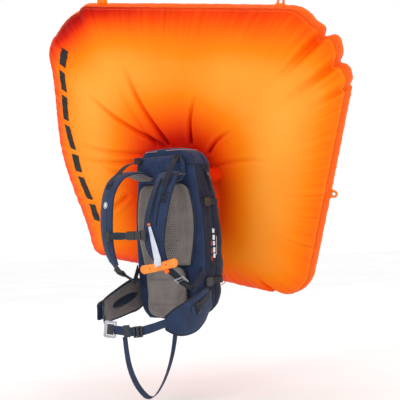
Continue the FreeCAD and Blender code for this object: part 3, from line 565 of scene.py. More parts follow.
def set_stage():
    right = unit([0.837, 0.545, -0.052])
    up = unit(np.array([0.053, 0.014, 0.998]) - right * (right @ [0.053, 0.014, 0.998]))
    back = np.cross(right, up)
    camera = bpy.data.objects.new("camera", bpy.data.cameras.new("camera"))
    scene.collection.objects.link(camera)
    camera.data.lens = 86.4
    camera.data.sensor_width = 36
    camera.data.clip_end = 50
    turn = Matrix((right, up, back)).transposed().to_4x4()
    camera.matrix_world = Matrix.Translation(Vector((1.7336, -2.4539, 0.0979))) @ turn
    scene.camera = camera

    def lamp(name, place, aim, size, power, tint=(1, 1, 1)):
        light = bpy.data.objects.new(name, bpy.data.lights.new(name, "AREA"))
        scene.collection.objects.link(light)
        light.data.size = size
        light.data.energy = power
        light.data.color = tint
        light.location = place
        light.rotation_euler = (Vector(aim) - Vector(place)).to_track_quat("-Z", "Y").to_euler()

    lamp("key", (-0.6, -3.2, 0.9), (0, 0, 0.15), 1.6, 20)
    lamp("fill", (3.2, -1.6, 0.4), (0, 0, 0.1), 2.2, 13)
    lamp("back", (-1.4, 2.6, 1.8), (0, 0, 0.2), 2.0, 10)
    world = bpy.data.worlds.new("studio")
    scene.world = world
    world.use_nodes = True
    world.node_tree.nodes["Background"].inputs["Color"].default_value = (1, 1, 1, 1)
    world.node_tree.nodes["Background"].inputs["Strength"].default_value = 1.0
    scene.view_settings.view_transform = "Standard"

    paint = Paint("floor_paint", 0.9)
    paint.colour(paint.ramp(paint.noise(3, 2), [(0.3, (250, 250, 250)), (0.7, (255, 255, 255))]))
    level = cad_low.z / MM - 26
    corners = [(-9000, -9000, level), (9000, -9000, level), (9000, 9000, level), (-9000, 9000, level)]
    floor = make("floor", corners, [(0, 1, 2, 3)], paint.material, body=None)


set_stage()


# ------------------------------------------------------------------ free cords

def spline_points(name, route):
    """The route as a smooth curve object, its points being the curve's control points."""
    data = bpy.data.curves.new(name, "CURVE")
    data.dimensions = "3D"
    spline = data.splines.new("NURBS")
    spline.points.add(len(route) - 1)
    for point, spot in zip(spline.points, route):
        point.co = (*[c * MM for c in spot], 1)
    spline.order_u = 3
    spline.use_endpoint_u = True
    spline.resolution_u = 24
    curve = bpy.data.objects.new(name, data)
    scene.collection.objects.link(curve)
    return curve


def read_line(name, route):
    """Points along the route's own smooth spline, in millimetres."""
    curve = spline_points(name, route)
    line = bpy.data.meshes.new_from_object(curve)
    points = np.array([v.co for v in line.vertices], float) / MM
    bpy.data.objects.remove(curve)
    return points


def make_leg_strap():
    route = [(26.6, 5, -215), (25, -6, -275), (21, -29, -345), (15, -68, -408), (6.5, -120, -450),
             (-2, -170, -404), (-7, -200, -345), (-9, -211, -290), (-9.6, -214, -245)]
    start, end = np.array(route[0], float), np.array(route[-1], float)
    across = unit([end[1] - start[1], start[0] - end[0], 0])
    flat = [start + (np.array(p) - start) - across * ((np.array(p) - start) @ across) for p in route]
    line = read_line("leg_strap_line", flat)
    points = evenly(line, 120)
    tangent = unit(np.gradient(points, axis=0))
    rings = []
    shares = np.array([-1, -0.9, -0.4, 0, 0.4, 0.9, 1])
    thick = np.array([0.5, 1.1, 0.95, 1, 0.95, 1.1, 0.5])
    for i, point in enumerate(points):
        share = i / 119
        twist = 0.5 * math.sin(share * math.pi) ** 2
        normal = np.cross(tangent[i], across)
        side = across * math.cos(twist) + normal * math.sin(twist)
        face = np.cross(tangent[i], side)
        top = point + side * (shares * 10)[:, None] + face * thick[:, None]
        low = point + side * (shares[::-1] * 10)[:, None] - face * thick[::-1][:, None]
        rings.append(np.vstack([top, low]))
    strap = merge("leg_strap_webbing", [ring_part(np.array(rings))], NAVY_WEB,
                  body=None, replaces=["leg_strap"], slot="navy_webbing")
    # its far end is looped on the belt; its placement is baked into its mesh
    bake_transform(strap)


def make_tool_cord():
    route = [(78, 176, -84), (86, 203, -86), (90, 211, -106), (86, 201, -126), (78, 170, -128)]
    points = evenly(read_line("tool_cord_line", route), 60)
    rings = tube_rings(points, 1.5, 16)
    turn = np.arange(16)
    for i in range(60):
        braid = 1 + 0.05 * np.cos(turn * math.pi / 2 + i * 1.6) * np.cos(turn * math.pi / 2 - i * 1.6)
        rings[i] = points[i] + (rings[i] - points[i]) * braid[:, None]
    cord = loft("tool_cord_sheath", rings, CORD_PAINT, replaces=["tool_cord"], slot="orange_cord")


make_leg_strap()
make_tool_cord()


# ------------------------------------------------------------------ airbag

AIRBAG_BASE = np.array([-66.0, 305.0, 338.0])
AIRBAG_TURN = np.array((Matrix.Rotation(math.radians(10), 3, "Z") @ Matrix.Rotation(math.radians(15), 3, "X")
                        @ Matrix.Rotation(math.radians(10), 3, "Y")))
# the envelope's corners as (x, z, radius, how far the side after it bows out)
AIRBAG_CORNERS = [
    (528, 282, 90, 30), (362, 486, 90, 0), (-410, 460, 60, 6), (-545, 315, 90, 36), (-375, -432, 60, 0),
    (418, -478, 95, 0)]
POLE = np.array([0.0, -100.0])
GUSSET = 40.0
# folds across the rim: (x, z on the outline, depth, half width, reach inward as a share)
RIM_FOLDS = [
    (446, 412, 38, 15, 0.2), (502, 332, 28, 13, 0.2), (524, 252, 11, 9, 0.12), (325, -472, 18, 12, 0.16),
    (-330, -436, 10, 12, 0.14), (-425, 445, 9, 14, 0.1)]
# long creases on the front, as (inner x, z, outer x, z, depth, half width)
CREASES = [
    (-70, 22, -335, 170, 17, 6), (-55, 30, -205, 270, 17, 6), (28, 40, 44, 192, 15, 5),
    (92, 14, 168, 92, 14, 5),
    (-120, -15, -395, -2, 8, 7), (-140, -40, -400, -52, 8, 7), (-95, 20, -240, 235, 5, 6),
    (118, -30, 300, 10, 5, 7), (-205, -170, -330, -262, 9, 7), (-215, -90, -300, -60, 6, 6)]


def airbag_outline(count):
    """The envelope's edge, evenly spaced: an arc at each corner and a bowed side after it."""
    corners = np.array([corner[:2] for corner in AIRBAG_CORNERS], float)
    ahead = unit(np.roll(corners, -1, 0) - corners)
    turn = np.arccos(np.clip((ahead * np.roll(ahead, 1, 0)).sum(1), -1, 1))
    radius = np.array([corner[2] for corner in AIRBAG_CORNERS], float)
    reach = radius * np.tan(turn / 2)
    points = []
    for i, (_, _, _, bow) in enumerate(AIRBAG_CORNERS):
        before, after = ahead[i - 1], (i + 1) % len(corners)
        start = corners[i] - before * reach[i]
        for t in np.linspace(0, turn[i], 24):
            points.append(start + before * radius[i] * math.sin(t)
                          + np.array([-before[1], before[0]]) * radius[i] * (1 - math.cos(t)))
        leave, arrive = points[-1], corners[after] - ahead[i] * reach[after]
        away = np.array([ahead[i][1], -ahead[i][0]])
        for share in np.linspace(0, 1, 62)[1:-1]:
            points.append(leave + (arrive - leave) * share + away * bow * math.sin(math.pi * share) ** 2)
    closed = np.vstack([points, points[:1]])
    far = np.concatenate([[0], np.cumsum(np.linalg.norm(np.diff(closed, axis=0), axis=1))])
    spots = np.linspace(0, far[-1], count, endpoint=False)
    return np.stack([np.interp(spots, far, closed[:, axis]) for axis in range(2)], 1)


def airbag_world(local):
    return local @ AIRBAG_TURN.T + AIRBAG_BASE


def fold_noise(angle, seed):
    """Uneven puckers along the rim: a sum of a few fixed waves, sharpened into creases."""
    waves = sum(a * np.sin(k * angle + seed * k) for a, k in ((0.5, 47), (0.3, 83), (0.35, 29), (0.2, 121)))
    return 1 - np.abs(np.clip(waves, -1, 1)) ** 0.6


def airbag_panel(face, around=600, across=86):
    """One panel on a polar grid about the pole: rings run from the seam inward. face is -1 for the front."""
    outline = airbag_outline(1200)
    closed = np.vstack([outline, outline[:1]])
    far = np.concatenate([[0], np.cumsum(np.linalg.norm(np.diff(closed, axis=0), axis=1))])
    spots = np.linspace(0, far[-1], around, endpoint=False)
    rim = np.stack([np.interp(spots, far, closed[:, axis]) for axis in range(2)], 1)
    inward = unit(POLE - rim)
    shares = 1 - np.linspace(0, 1, across) ** 1.35
    shares[-1] = 0.004
    points = np.zeros((across, around, 3))
    painted_shading = np.zeros((across, around))
    angle = spots / far[-1] * 2 * math.pi
    pucker = fold_noise(angle, 1.3 if face < 0 else 2.1)
    for i, share in enumerate(shares):
        flat = POLE + (rim - POLE) * share
        edge = 1 - share
        profile = max(1 - share ** 2.9, 0) ** 0.56
        rise = 106 * profile * np.ones(around)
        # puckers fade from the seam inward, and pull the rim in a little
        near = math.exp(-(edge / 0.085) ** 1.2)
        swell = math.exp(-(edge / 0.16) ** 2) * min(edge / 0.02, 1)
        rise -= 9.5 * pucker * swell * (0.55 + 0.45 * np.sin(3 * angle + 1) ** 2)
        flat = flat + inward * (2.6 * pucker * near)[:, None]
        for x, z, depth, wide, reach in RIM_FOLDS:
            aside = np.hypot(rim[:, 0] - x, rim[:, 1] - z) * share ** 0.5
            notch = np.exp(-(aside / wide) ** 2)
            fade = math.exp(-(edge / reach) ** 2)
            flat = flat + inward * (depth * notch * fade)[:, None]
            rise -= depth * 0.75 * notch * fade * min(edge / 0.03 + 0.25, 1)
            rise += depth * 0.22 * np.exp(-((aside - 2.2 * wide) / wide) ** 2) * fade * min(edge / 0.03, 1)
        dip = np.zeros(around)
        crease_shade = np.zeros(around)
        if face < 0:
            # the cloth is drawn in round the pack's top and sides, and comes back behind it
            dx, dz = (flat[:, 0] + 10) / 148, (flat[:, 1] + 190) / 215
            ring = (np.hypot(dx, dz) - 1) * 165
            dip = np.where(ring > 0, np.exp(-(ring / 105) ** 1.3), np.exp(-(ring / 40) ** 2))
            top = 0.45 + 0.55 / (1 + np.exp(-(flat[:, 1] + 190) / 60))
            rise -= 40 * dip * top
            for ax, az, bx, bz, depth, wide in CREASES:
                run = np.array([bx - ax, bz - az], float)
                far_along = np.clip(((flat - (ax, az)) @ run) / (run @ run), 0, 1)
                nearest = np.array([ax, az]) + far_along[:, None] * run
                bend = 9 * np.sin(far_along * math.pi)[:, None] * np.array([-run[1], run[0]]) / np.hypot(*run)
                aside = np.linalg.norm(flat - nearest - bend, axis=1)
                strength = np.sin(np.clip(1.08 - far_along, 0, 1) * math.pi / 2) ** 0.8
                cut = np.exp(-(aside / wide) ** 1.4)
                cut = cut - 0.35 * np.exp(-((aside - 2.4 * wide) / (1.4 * wide)) ** 2)
                rise -= depth * strength * cut
                crease_shade += depth / 17 * strength * np.exp(-(aside / (wide * 1.1)) ** 2)
        # slow unevenness of stretched cloth
        rise += 2.4 * np.sin(flat[:, 0] / 61 + face) * np.sin(flat[:, 1] / 47 + 2 * face) * min(edge * 4, 1)
        points[i, :, 0], points[i, :, 2] = flat[:, 0], flat[:, 1]
        points[i, :, 1] = face * (GUSSET + np.maximum(rise, -20))
        # painted light and shade in the cloth's colour, standing in for light through the cloth: painted
        # highlight on the shoulders of the swell and at the sides, painted deep red shade round the pack, in
        # the creases and puckers, near the seam, along the left rim and in the top left corner, and a darker
        # top
        body = 0.58 + 0.36 * math.exp(-((edge - 0.42) / 0.28) ** 2)
        warm = body - 0.14 * math.exp(-(edge / 0.1) ** 2)
        high = np.clip((flat[:, 1] - 300) / 170, 0, 1)
        side = np.clip(-flat[:, 0] / 500, 0, 1) * 0.1 + np.clip((flat[:, 0] - 250) / 260, 0, 1) * 0.2
        corner = np.exp(-((flat[:, 0] + 455) ** 2 + (flat[:, 1] - 400) ** 2) / 120 ** 2)
        left_rim_shade = np.clip(-flat[:, 0] / 300, 0, 1) * math.exp(-(edge / 0.075) ** 2)
        right_side = 1 - 0.35 * np.clip(flat[:, 0] / 150, 0, 1)
        painted_shading[i] = (warm + side - 0.16 * high - 0.6 * dip ** 0.8 * right_side - 0.08 * pucker * swell
                   - 0.16 * crease_shade - 0.34 * corner - 0.2 * left_rim_shade)
    return points, painted_shading


def make_airbag():
    front, front_painted_shading = airbag_panel(-1)
    rear, rear_painted_shading = airbag_panel(1)
    around = front.shape[1]
    steps = 9
    strip, strip_painted_shading = [], []
    for k in range(1, steps):
        share = k / steps
        puff = 11 * math.sin(math.pi * share)
        ring = front[0] * (1 - share) + rear[0] * share
        away = unit(ring[:, [0, 2]] - POLE)
        ring[:, 0] += away[:, 0] * puff
        ring[:, 2] += away[:, 1] * puff
        strip.append(ring)
        # painted light and shade on the gusset strip: a red orange, lighter across its puffed middle
        strip_painted_shading.append(np.full(around, 0.42 + 0.14 * math.sin(math.pi * share)))
    rows = np.concatenate([front[::-1], np.array(strip), rear])
    shading_tones = np.concatenate([front_painted_shading[::-1], np.array(strip_painted_shading), rear_painted_shading])
    count = len(rows)
    faces = [(i * around + j, i * around + (j + 1) % around, (i + 1) * around + (j + 1) % around,
              (i + 1) * around + j) for i in range(count - 1) for j in range(around)]
    faces.append(tuple(reversed(range(around))))
    faces.append(tuple(range((count - 1) * around, count * around)))
    shell = outward(make("airbag_envelope", airbag_world(rows.reshape(-1, 3)), faces, AIRBAG,
                         replaces=["airbag_shell"], slot="airbag_fabric"))
    # the painted light and shade go on the envelope as a point attribute
    layer = shell.data.attributes.new("painted_shading", "FLOAT", "POINT")
    layer.data.foreach_set("value", shading_tones.ravel().astype(np.float32))

    # felled seams, with a row of thread each side
    seams, rows = [], []
    for face, panel in ((-1, front), (1, rear)):
        line = panel[0].copy()
        line[:, 1] += face * 1.0
        away = unit(line[:, [0, 2]] - POLE)
        line[:, 0] += away[:, 0] * 1.6
        line[:, 2] += away[:, 1] * 1.6
        closed = airbag_world(np.vstack([line, line[:1]]))
        seams.append(ring_part(tube_rings(closed, 1.7, 6)))
        rows.append(airbag_world(np.vstack([panel[3], panel[3][:1]]) + (0, face * 0.5, 0)))
    merge("airbag_seams", seams, ORANGE_WEB, slot="airbag_fabric")
    merge("airbag_stitching", stitches(rows, pitch=6.5, size=4.4, thick=0.6), THREAD_ORANGE,
          slot="airbag_fabric")
    return front


def surface_point(panel, x, z):
    """The front panel's nearest point to a place in the airbag's own frame."""
    flat = panel.reshape(-1, 3)
    index = np.argmin((flat[:, 0] - x) ** 2 + (flat[:, 2] - z) ** 2)
    return flat[index]


def make_airbag_marks(panel):
    """Plain printed blocks down the airbag's edge, lying on the cloth."""
    parts = []
    ends = np.array([(-450, 318), (-452, 125), (-401, -90), (-310, -318)], float)
    line = through(ends, 200)
    far = np.concatenate([[0], np.cumsum(np.linalg.norm(np.diff(line, axis=0), axis=1))])
    spot, total = 0.0, far[-1]
    blocks = ((56, 30), (66, 26), (82, 25), (84, 25), (62, 28), (84, 26), (60, 26))
    for block, (long, wide) in enumerate(blocks):
        cells_along, cells_across = 22, 8
        grid = []
        for a in np.linspace(spot, min(spot + long, total - 1), cells_along):
            centre = np.array([np.interp(a, far, line[:, axis]) for axis in range(2)])
            ahead = np.array([np.interp(min(a + 2, total), far, line[:, axis]) for axis in range(2)]) - centre
            if np.hypot(*ahead) < 1e-6:
                ahead = line[-1] - line[-2]
            ahead = ahead / np.hypot(*ahead)
            aside = np.array([-ahead[1], ahead[0]])
            lean = (a - spot) / long - 0.5
            for s in np.linspace(-0.5, 0.5, cells_across):
                place = centre + aside * wide * s + ahead * s * 10 + aside * lean * (6 if block % 2 else -6)
                point = surface_point(panel, *place).copy()
                point[0], point[2] = place
                point[1] -= 1.6
                grid.append(point)
        faces = [(i * cells_across + j, i * cells_across + j + 1,
                  (i + 1) * cells_across + j + 1, (i + 1) * cells_across + j)
                 for i in range(cells_along - 1) for j in range(cells_across - 1)]
        parts.append((airbag_world(np.array(grid)), faces, [(0, 0)] * (4 * len(faces))))
        spot += long + 20
        if spot > total - 30:
            break
    points, faces, shift = [], [], 0
    for part_points, part_faces, _ in parts:
        points.append(part_points)
        faces += [tuple(v + shift for v in face) for face in part_faces]
        shift += len(part_points)
    marks = make("airbag_marks", np.vstack(points), faces, INK)
    solid = marks.modifiers.new("Solidify", "SOLIDIFY")
    solid.thickness = 0.0004
    apply_modifiers(marks)


def make_airbag_tabs():
    """Sewn cloth tabs round the metal eyelets along the rim."""
    rings = np.array([v.co for v in nodes["airbag_eyelets"].data.vertices], float) / MM
    local = (rings - AIRBAG_BASE) @ AIRBAG_TURN
    groups = [local[(local[:, 2] > 400) & (local[:, 0] < 0)], local[(local[:, 2] > 400) & (local[:, 0] > 0)],
              local[local[:, 2] < 400]]
    outline = airbag_outline(600)
    parts = []
    for group in groups:
        centre = (group.min(0) + group.max(0)) / 2
        flat = centre[[0, 2]]
        root = outline[np.argmin(np.hypot(*(outline - flat).T))]
        out = unit(flat - root)
        side = np.array([-out[1], out[0]])
        reach = np.hypot(*(flat - root))
        sides = 32
        turn = np.linspace(0, 2 * math.pi, sides, endpoint=False)
        inner = [flat + 6.8 * (math.cos(t) * out + math.sin(t) * side) for t in turn]
        outer = []
        for t in turn:
            along, aside = math.cos(t), math.sin(t)
            if along > -0.2:
                outer.append(flat + 13 * along * out + 13 * aside * side)
            else:
                outer.append(flat - (reach + 6) * out * min(-along * 1.5, 1) + side * aside * 21)
        points = []
        for y in (-1.3, 1.3):
            points += [(p[0], centre[1] + y, p[1]) for p in (*inner, *outer)]
        faces = []
        for j in range(sides):
            # the inner and outer edges at the rear, then the same two at the front
            k = (j + 1) % sides
            (a, b), (c, d), (e, f), (g, h) = ((sides * ring + j, sides * ring + k) for ring in range(4))
            faces += [(a, b, d, c), (f, e, g, h), (c, d, h, g), (b, a, e, f)]
        parts.append((airbag_world(np.array(points)), faces, [(0, 0)] * (4 * len(faces))))
    merge("airbag_tab_cloth", parts, ORANGE_CLOTH, replaces=["airbag_tabs"], slot="airbag_fabric")


front_panel = make_airbag()
make_airbag_marks(front_panel)
make_airbag_tabs()


# ------------------------------------------------------------------ pack bag

BAG = np.array([
    (-214, 92, 78, 28), (-182, 115, 140, 52), (-121, 122, 170, 68), (-20, 126, 184, 70), (83, 125, 180, 70),
    (218, 110, 160, 62), (270, 103, 154, 54), (298, 88, 138, 44), (312, 66, 118, 34)], float)
BAG_FRONT, FRONT_CORNER = 12.4, 18


def bag_section(level):
    """Half width, rear and rear corner radius at a level, smooth between the bag's sections."""
    return [float(np.interp(level, *dense)) for dense in BAG_DENSE]


bag_rows = through(BAG, 400)
BAG_DENSE = [(bag_rows[:, 0], bag_rows[:, column]) for column in (1, 2, 3)]


def bag_ring(level, inset=0.0):
    """The bag's outline, from the middle of its front by way of its left side."""
    half, rear, corner = bag_section(level)
    half, rear, front = half - inset, rear - inset, BAG_FRONT + min(inset, 20)
    corner, small = min(corner, half - 8, (rear - front) / 2), min(FRONT_CORNER, half - 8)
    quarter = np.linspace(0, math.pi / 2, 13)
    line = []
    line += [(x, front) for x in np.linspace(0, half - small, 14, endpoint=False)]
    line += [(half - small + small * math.sin(t), front + small - small * math.cos(t)) for t in quarter]
    line += [(half, y) for y in np.linspace(front + small, rear - corner, 26)[1:-1]]
    line += [(half - corner + corner * math.cos(t), rear - corner + corner * math.sin(t)) for t in quarter]
    line += [(x, rear) for x in np.linspace(half - corner, 0, 16, endpoint=False)[1:]]
    line = np.array(line)
    other = line[::-1] * (-1, 1)
    both = np.vstack([line, [(0, rear)], other[:-1]])
    return np.column_stack([both, np.full(len(both), level)])


def make_bag():
    levels = np.concatenate([np.linspace(-214, 300, 120), np.linspace(301, 312, 8)])
    rings = [bag_ring(level) for level in levels]
    for drop, inset in ((1.6, 3), (3.0, 8), (4.2, 16), (5.0, 28), (5.4, 44), (5.6, 60)):
        cap = bag_ring(312, inset)
        cap[:, 2] = 312 + drop
        rings.append(cap)
        low = bag_ring(-214, inset)
        low[:, 2] = -214 - drop * 0.7
        rings.insert(0, low)
    rings = np.array(rings)
    centre = rings.mean(1, keepdims=True) * (1, 1, 0) + rings * (0, 0, 1)
    away = unit(rings - centre)
    x, y, z = rings[..., 0], rings[..., 1], rings[..., 2]
    beside = np.clip((np.abs(x) - 60) / 40, 0, 1)
    behind = np.clip((y - 40) / 60, 0, 1)
    # cloth pinched by the compression straps, slack folds between, seams drawn in
    push = np.zeros_like(x)
    for level in (143, -104):
        push -= 3.0 * np.exp(-((z - level) / 15) ** 2) * behind
        push += 1.6 * np.exp(-((np.abs(z - level) - 34) / 18) ** 2) * behind
    push += 2.2 * behind * np.sin(z / 23 + x / 40 + np.sin(y / 31)) * np.sin(y / 27 + z / 60) * beside
    push += 1.3 * behind * np.sin(z / 9.5 + y / 12) * np.exp(-((z + 60) / 70) ** 2)
    for seam in (34, 88):
        push -= 1.5 * np.exp(-((y - seam) / 3.2) ** 2) * beside * (y < 150)
    push -= 1.4 * np.exp(-((z - 262) / 3.0) ** 2)
    folds = np.array([noise.noise(Vector(p) * 0.034) for p in rings.reshape(-1, 3)]).reshape(x.shape)
    push += 2.0 * folds * np.clip((y - 16) / 20, 0, 1)
    rings = rings + away * push[..., None]
    bag = loft("bag_skin", rings, NAVY_DARK, replaces=["main_bag"], slot="navy_fabric")
    # the upper panel, a shade lighter, and the front band lie on the same skin
    bag.data.materials.append(NAVY)
    bag.data.materials.append(EDGING)
    for face in bag.data.polygons:
        spot = face.center / MM
        if spot.z > 262 or spot.y < 34:
            face.material_index = 1
        if spot.y > 150 and spot.z < 200:
            face.material_index = 0
    return bag


def side_line(side, depth_at, levels, proud=0.6):
    """Points down one side of the bag at a depth given for each level."""
    points = []
    for level in levels:
        half, rear, corner = bag_section(level)
        y = depth_at(level)
        turn = y - (rear - corner)
        x = half if turn <= 0 else half - corner + math.sqrt(max(corner ** 2 - turn ** 2, 0))
        if y < BAG_FRONT + FRONT_CORNER:
            drop = BAG_FRONT + FRONT_CORNER - y
            x = half - FRONT_CORNER + math.sqrt(max(FRONT_CORNER ** 2 - drop ** 2, 0))
        points.append((side * (x + proud), y, level))
    return np.array(points)


def make_bag_seams():
    levels = np.linspace(-206, 300, 90)
    parts, rows = [], []
    for side in (-1, 1):
        for depth in (lambda z: 34.0, lambda z: 88 + 10 * math.sin((z + 200) / 500 * math.pi)):
            line = side_line(side, depth, levels)
            parts.append(ring_part(tube_rings(line, 1.15, 6)))
            rows.append(side_line(side, lambda z: depth(z) + 4.5, levels, 0.7))
            rows.append(side_line(side, lambda z: depth(z) - 4.5, levels, 0.7))
    lid = bag_ring(262, -0.7)
    parts.append(ring_part(tube_rings(lid[15:-15], 1.2, 6)))
    for level in (266, 258):
        rows.append(bag_ring(level, -0.9)[15:-15])
    base = bag_ring(-176, -0.6)
    parts.append(ring_part(tube_rings(base[15:-15], 1.2, 6)))
    merge("bag_seams", parts, EDGING, slot="navy_fabric")
    merge("bag_stitching", stitches(rows, pitch=4.2, size=2.8), THREAD, slot="navy_fabric")
    # the burst seam over the top that the airbag leaves by
    crest = bag_ring(309, -1.8)[4:-4]
    tape = [ring_part(tube_rings(crest, 1.5, 6))]
    merge("burst_seam_tape", tape, woven("burst_seam_cloth", (168, 120, 128), (104, 74, 88)),
          slot="navy_fabric")


def make_prints():
    """Plain bars in the places of printed marks."""
    def bar(side, y0, z0, y1, z1, wide, lift=1.5):
        path = np.linspace((y0, z0), (y1, z1), 14)
        rings = []
        for y, z in path:
            run = unit([y1 - y0, z1 - z0])
            aside = np.array([-run[1], run[0]]) * wide / 2
            corners = []
            for s in np.linspace(-1, 1, 5):
                spot = side_line(side, lambda level, s=s: y + aside[0] * s, [z + aside[1] * s], lift)[0]
                corners.append(spot)
            back = [c - (side * 2.2, 0, 0) for c in corners[::-1]]
            rings.append(corners + back)
        return ring_part(np.array(rings))

    whites = [bar(1, 86, 58 - k * 19.5, 84, 58 - k * 19.5 - (13 + 2.5 * (k % 2)), 11) for k in range(5)]
    whites.append(bar(1, 100, 44, 97, -24, 2.6))
    whites += [bar(1, 30 + k * 11, -150 - k * 1.5, 38 + k * 11, -151.5 - k * 1.5, 6) for k in range(3)]
    reds = [bar(1, 71, 20 - k * 24, 70, 6 - k * 24, 4) for k in range(3)]
    merge("side_print_white", whites, WHITE_INK, slot="white_webbing")
    merge("side_print_red", reds, RED_INK, slot="red_plastic")


def make_compression():
    """Webbing round the bag's sides, with sewn ends; the buckles are the CAD's own."""
    for name, level in (("upper", 143), ("lower", -104)):
        for label, side in (("left", 1), ("right", -1)):
            half, rear, corner = bag_section(level)
            out = half + 4.0
            route = [(side * (half + 1.6), 31, level), (side * out, 44, level),
                     (side * out, rear - corner, level)]
            for t in (0.25, 0.5, 0.75, 1.0):
                a = t * math.pi / 2
                route.append((side * (half - corner + (corner + 4) * math.cos(a)),
                              rear - corner + (corner + 4) * math.sin(a), level))
            strap = webbing_part(route, [20] * len(route), 1.6, Z, 60)
            box = stitches([np.array([(side * (half + 3.4), 34, level - 7),
                                      (side * (half + 3.8), 40, level - 7),
                                      (side * (half + 3.8), 40, level + 7),
                                      (side * (half + 3.4), 34, level + 7)])], pitch=2.4, size=1.7)
            merge(f"compression_webbing_{name}_{label}", [strap], BLACK_WEB,
                  replaces=[f"compression_strap_{name}_{label}"], slot="black_webbing")
            merge(f"compression_bartack_{name}_{label}", box, THREAD, slot="black_webbing")


make_bag()
make_bag_seams()
make_prints()
make_compression()


# ------------------------------------------------------------------ back panel, lumbar pad and yoke

panel_rows = through([(-52, 88), (10, 101), (70, 109), (130, 106), (180, 96), (206, 84)], 200)
PANEL_DENSE = (panel_rows[:, 0], panel_rows[:, 1])


def panel_half(level):
    """Half width of the back panel at a level, with rounded corners top and bottom."""
    half = float(np.interp(level, *PANEL_DENSE))
    for edge, radius in ((-52, 3), (206, 24)):
        reach = radius - abs(level - edge)
        if reach > 0:
            half -= radius - math.sqrt(radius ** 2 - reach ** 2)
    return half


def make_back_panel():
    """Moulded foam under spacer mesh: a raised rim, a hollow down the middle and rows of small knobs."""
    rows, columns = 190, 150
    points, knobs = [], set()
    for level in np.linspace(-51.8, 205.8, rows):
        half = panel_half(level)
        for share in np.linspace(-1, 1, columns):
            x = share * half
            edge = min((1 - abs(share)) * half, level + 52, 206 - level)
            crown = 1 - math.exp(-max(edge, 0) / 5.5)
            y = 9.4 - 9.0 * crown
            hollow = math.exp(-(x / 40) ** 4) * math.exp(-((level - 60) / 120) ** 4)
            y += 3.2 * hollow
            groove = abs(abs(share) - 0.74 + 0.1 * math.sin(level / 70))
            y += 1.6 * math.exp(-(groove / 0.022) ** 2)
            inside = hollow > 0.25 and 8 < edge
            if inside:
                u, v = x / 8.5, level / 7.4
                u += 0.5 * (int(math.floor(v)) % 2)
                du, dv = u - math.floor(u) - 0.5, v - math.floor(v) - 0.5
                raised = math.exp(-((du * 8.5) ** 2 + (dv * 7.4) ** 2) / 3.2)
                y -= 3.0 * raised
                if raised > 0.4:
                    knobs.add(len(points))
            points.append((x, max(y, -2.5), level))
    count = len(points)
    faces = [(i * columns + j, i * columns + j + 1, (i + 1) * columns + j + 1, (i + 1) * columns + j)
             for i in range(rows - 1) for j in range(columns - 1)]
    points += [(p[0], 11.8, p[2]) for p in points]
    faces += [tuple(v + count for v in reversed(face)) for face in list(faces)]
    rim = [j for j in range(columns)] + [i * columns + columns - 1 for i in range(1, rows)]
    rim += [(rows - 1) * columns + j for j in range(columns - 2, -1, -1)]
    rim += [i * columns for i in range(rows - 2, 0, -1)]
    faces += [(a, b, b + count, a + count) for a, b in zip(rim, rim[1:] + rim[:1])]
    panel = outward(make("back_panel_pad", points, faces, GREY, replaces=["back_panel"], slot="grey_mesh"))
    panel.data.materials.append(KNOB)
    for face in panel.data.polygons:
        if sum(v in knobs for v in face.vertices) >= 2:
            face.material_index = 1
    levels = np.linspace(-52, 206, 60)
    left = np.array([(panel_half(z), 7.4, z) for z in levels])
    loop = np.vstack([left, left[::-1] * (-1, 1, 1)])
    merge("back_panel_binding", [ring_part(tube_rings(np.vstack([loop, loop[:1]]), 2.1, 8))], EDGING,
          slot="navy_fabric")


def make_cushion(name, node, material, shrink, cap, body="root", voxel=4.0):
    """A pad swelled as cloth from its own CAD solid, made a little smaller first."""
    mesh = nodes[node].data.copy()
    mesh.name = name
    mesh.materials.clear()
    mesh.materials.append(material)
    points = np.array([v.co for v in mesh.vertices], float)
    low, high = points.min(0), points.max(0)
    middle, size = (low + high) / 2, high - low
    points = middle + (points - middle) * (1 - 2 * shrink * MM / size)
    mesh.vertices.foreach_set("co", points.ravel())
    pad = bpy.data.objects.new(name, mesh)
    scene.collection.objects.link(pad)
    inflate(pad, cap, voxel=voxel)
    pad.data.name = name
    if body:
        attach(pad, body)
    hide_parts(node)
    return pad


def hold(piece, rule):
    """Moves a piece's points by a rule on their places in millimetres."""
    points = np.array([v.co for v in piece.data.vertices], float) / MM
    piece.data.vertices.foreach_set("co", (rule(points) * MM).ravel())
    piece.data.update()


def make_lumbar():
    pad = make_cushion("lumbar_cushion", "lumbar_pad", GREY, 2.0, 5)

    def rule(points):
        points[:, 1] = np.clip(points[:, 1], -19, 12)
        front = points[:, 1] < -2
        for level in (-92, -170):
            points[:, 1] += 1.8 * front * np.exp(-((points[:, 2] - level) / 2.6) ** 2)
        return points

    hold(pad, rule)
    turn = np.linspace(0, 2 * math.pi, 160)
    loop = np.column_stack([73 * np.sign(np.cos(turn)) * np.abs(np.cos(turn)) ** 0.42, np.full(160, 4.0),
                            -131.4 + 79 * np.sign(np.sin(turn)) * np.abs(np.sin(turn)) ** 0.42])
    loop[:, 2] = np.minimum(loop[:, 2], -53.5)
    merge("lumbar_binding", [ring_part(tube_rings(loop, 3.0, 8))], EDGING, slot="navy_fabric")


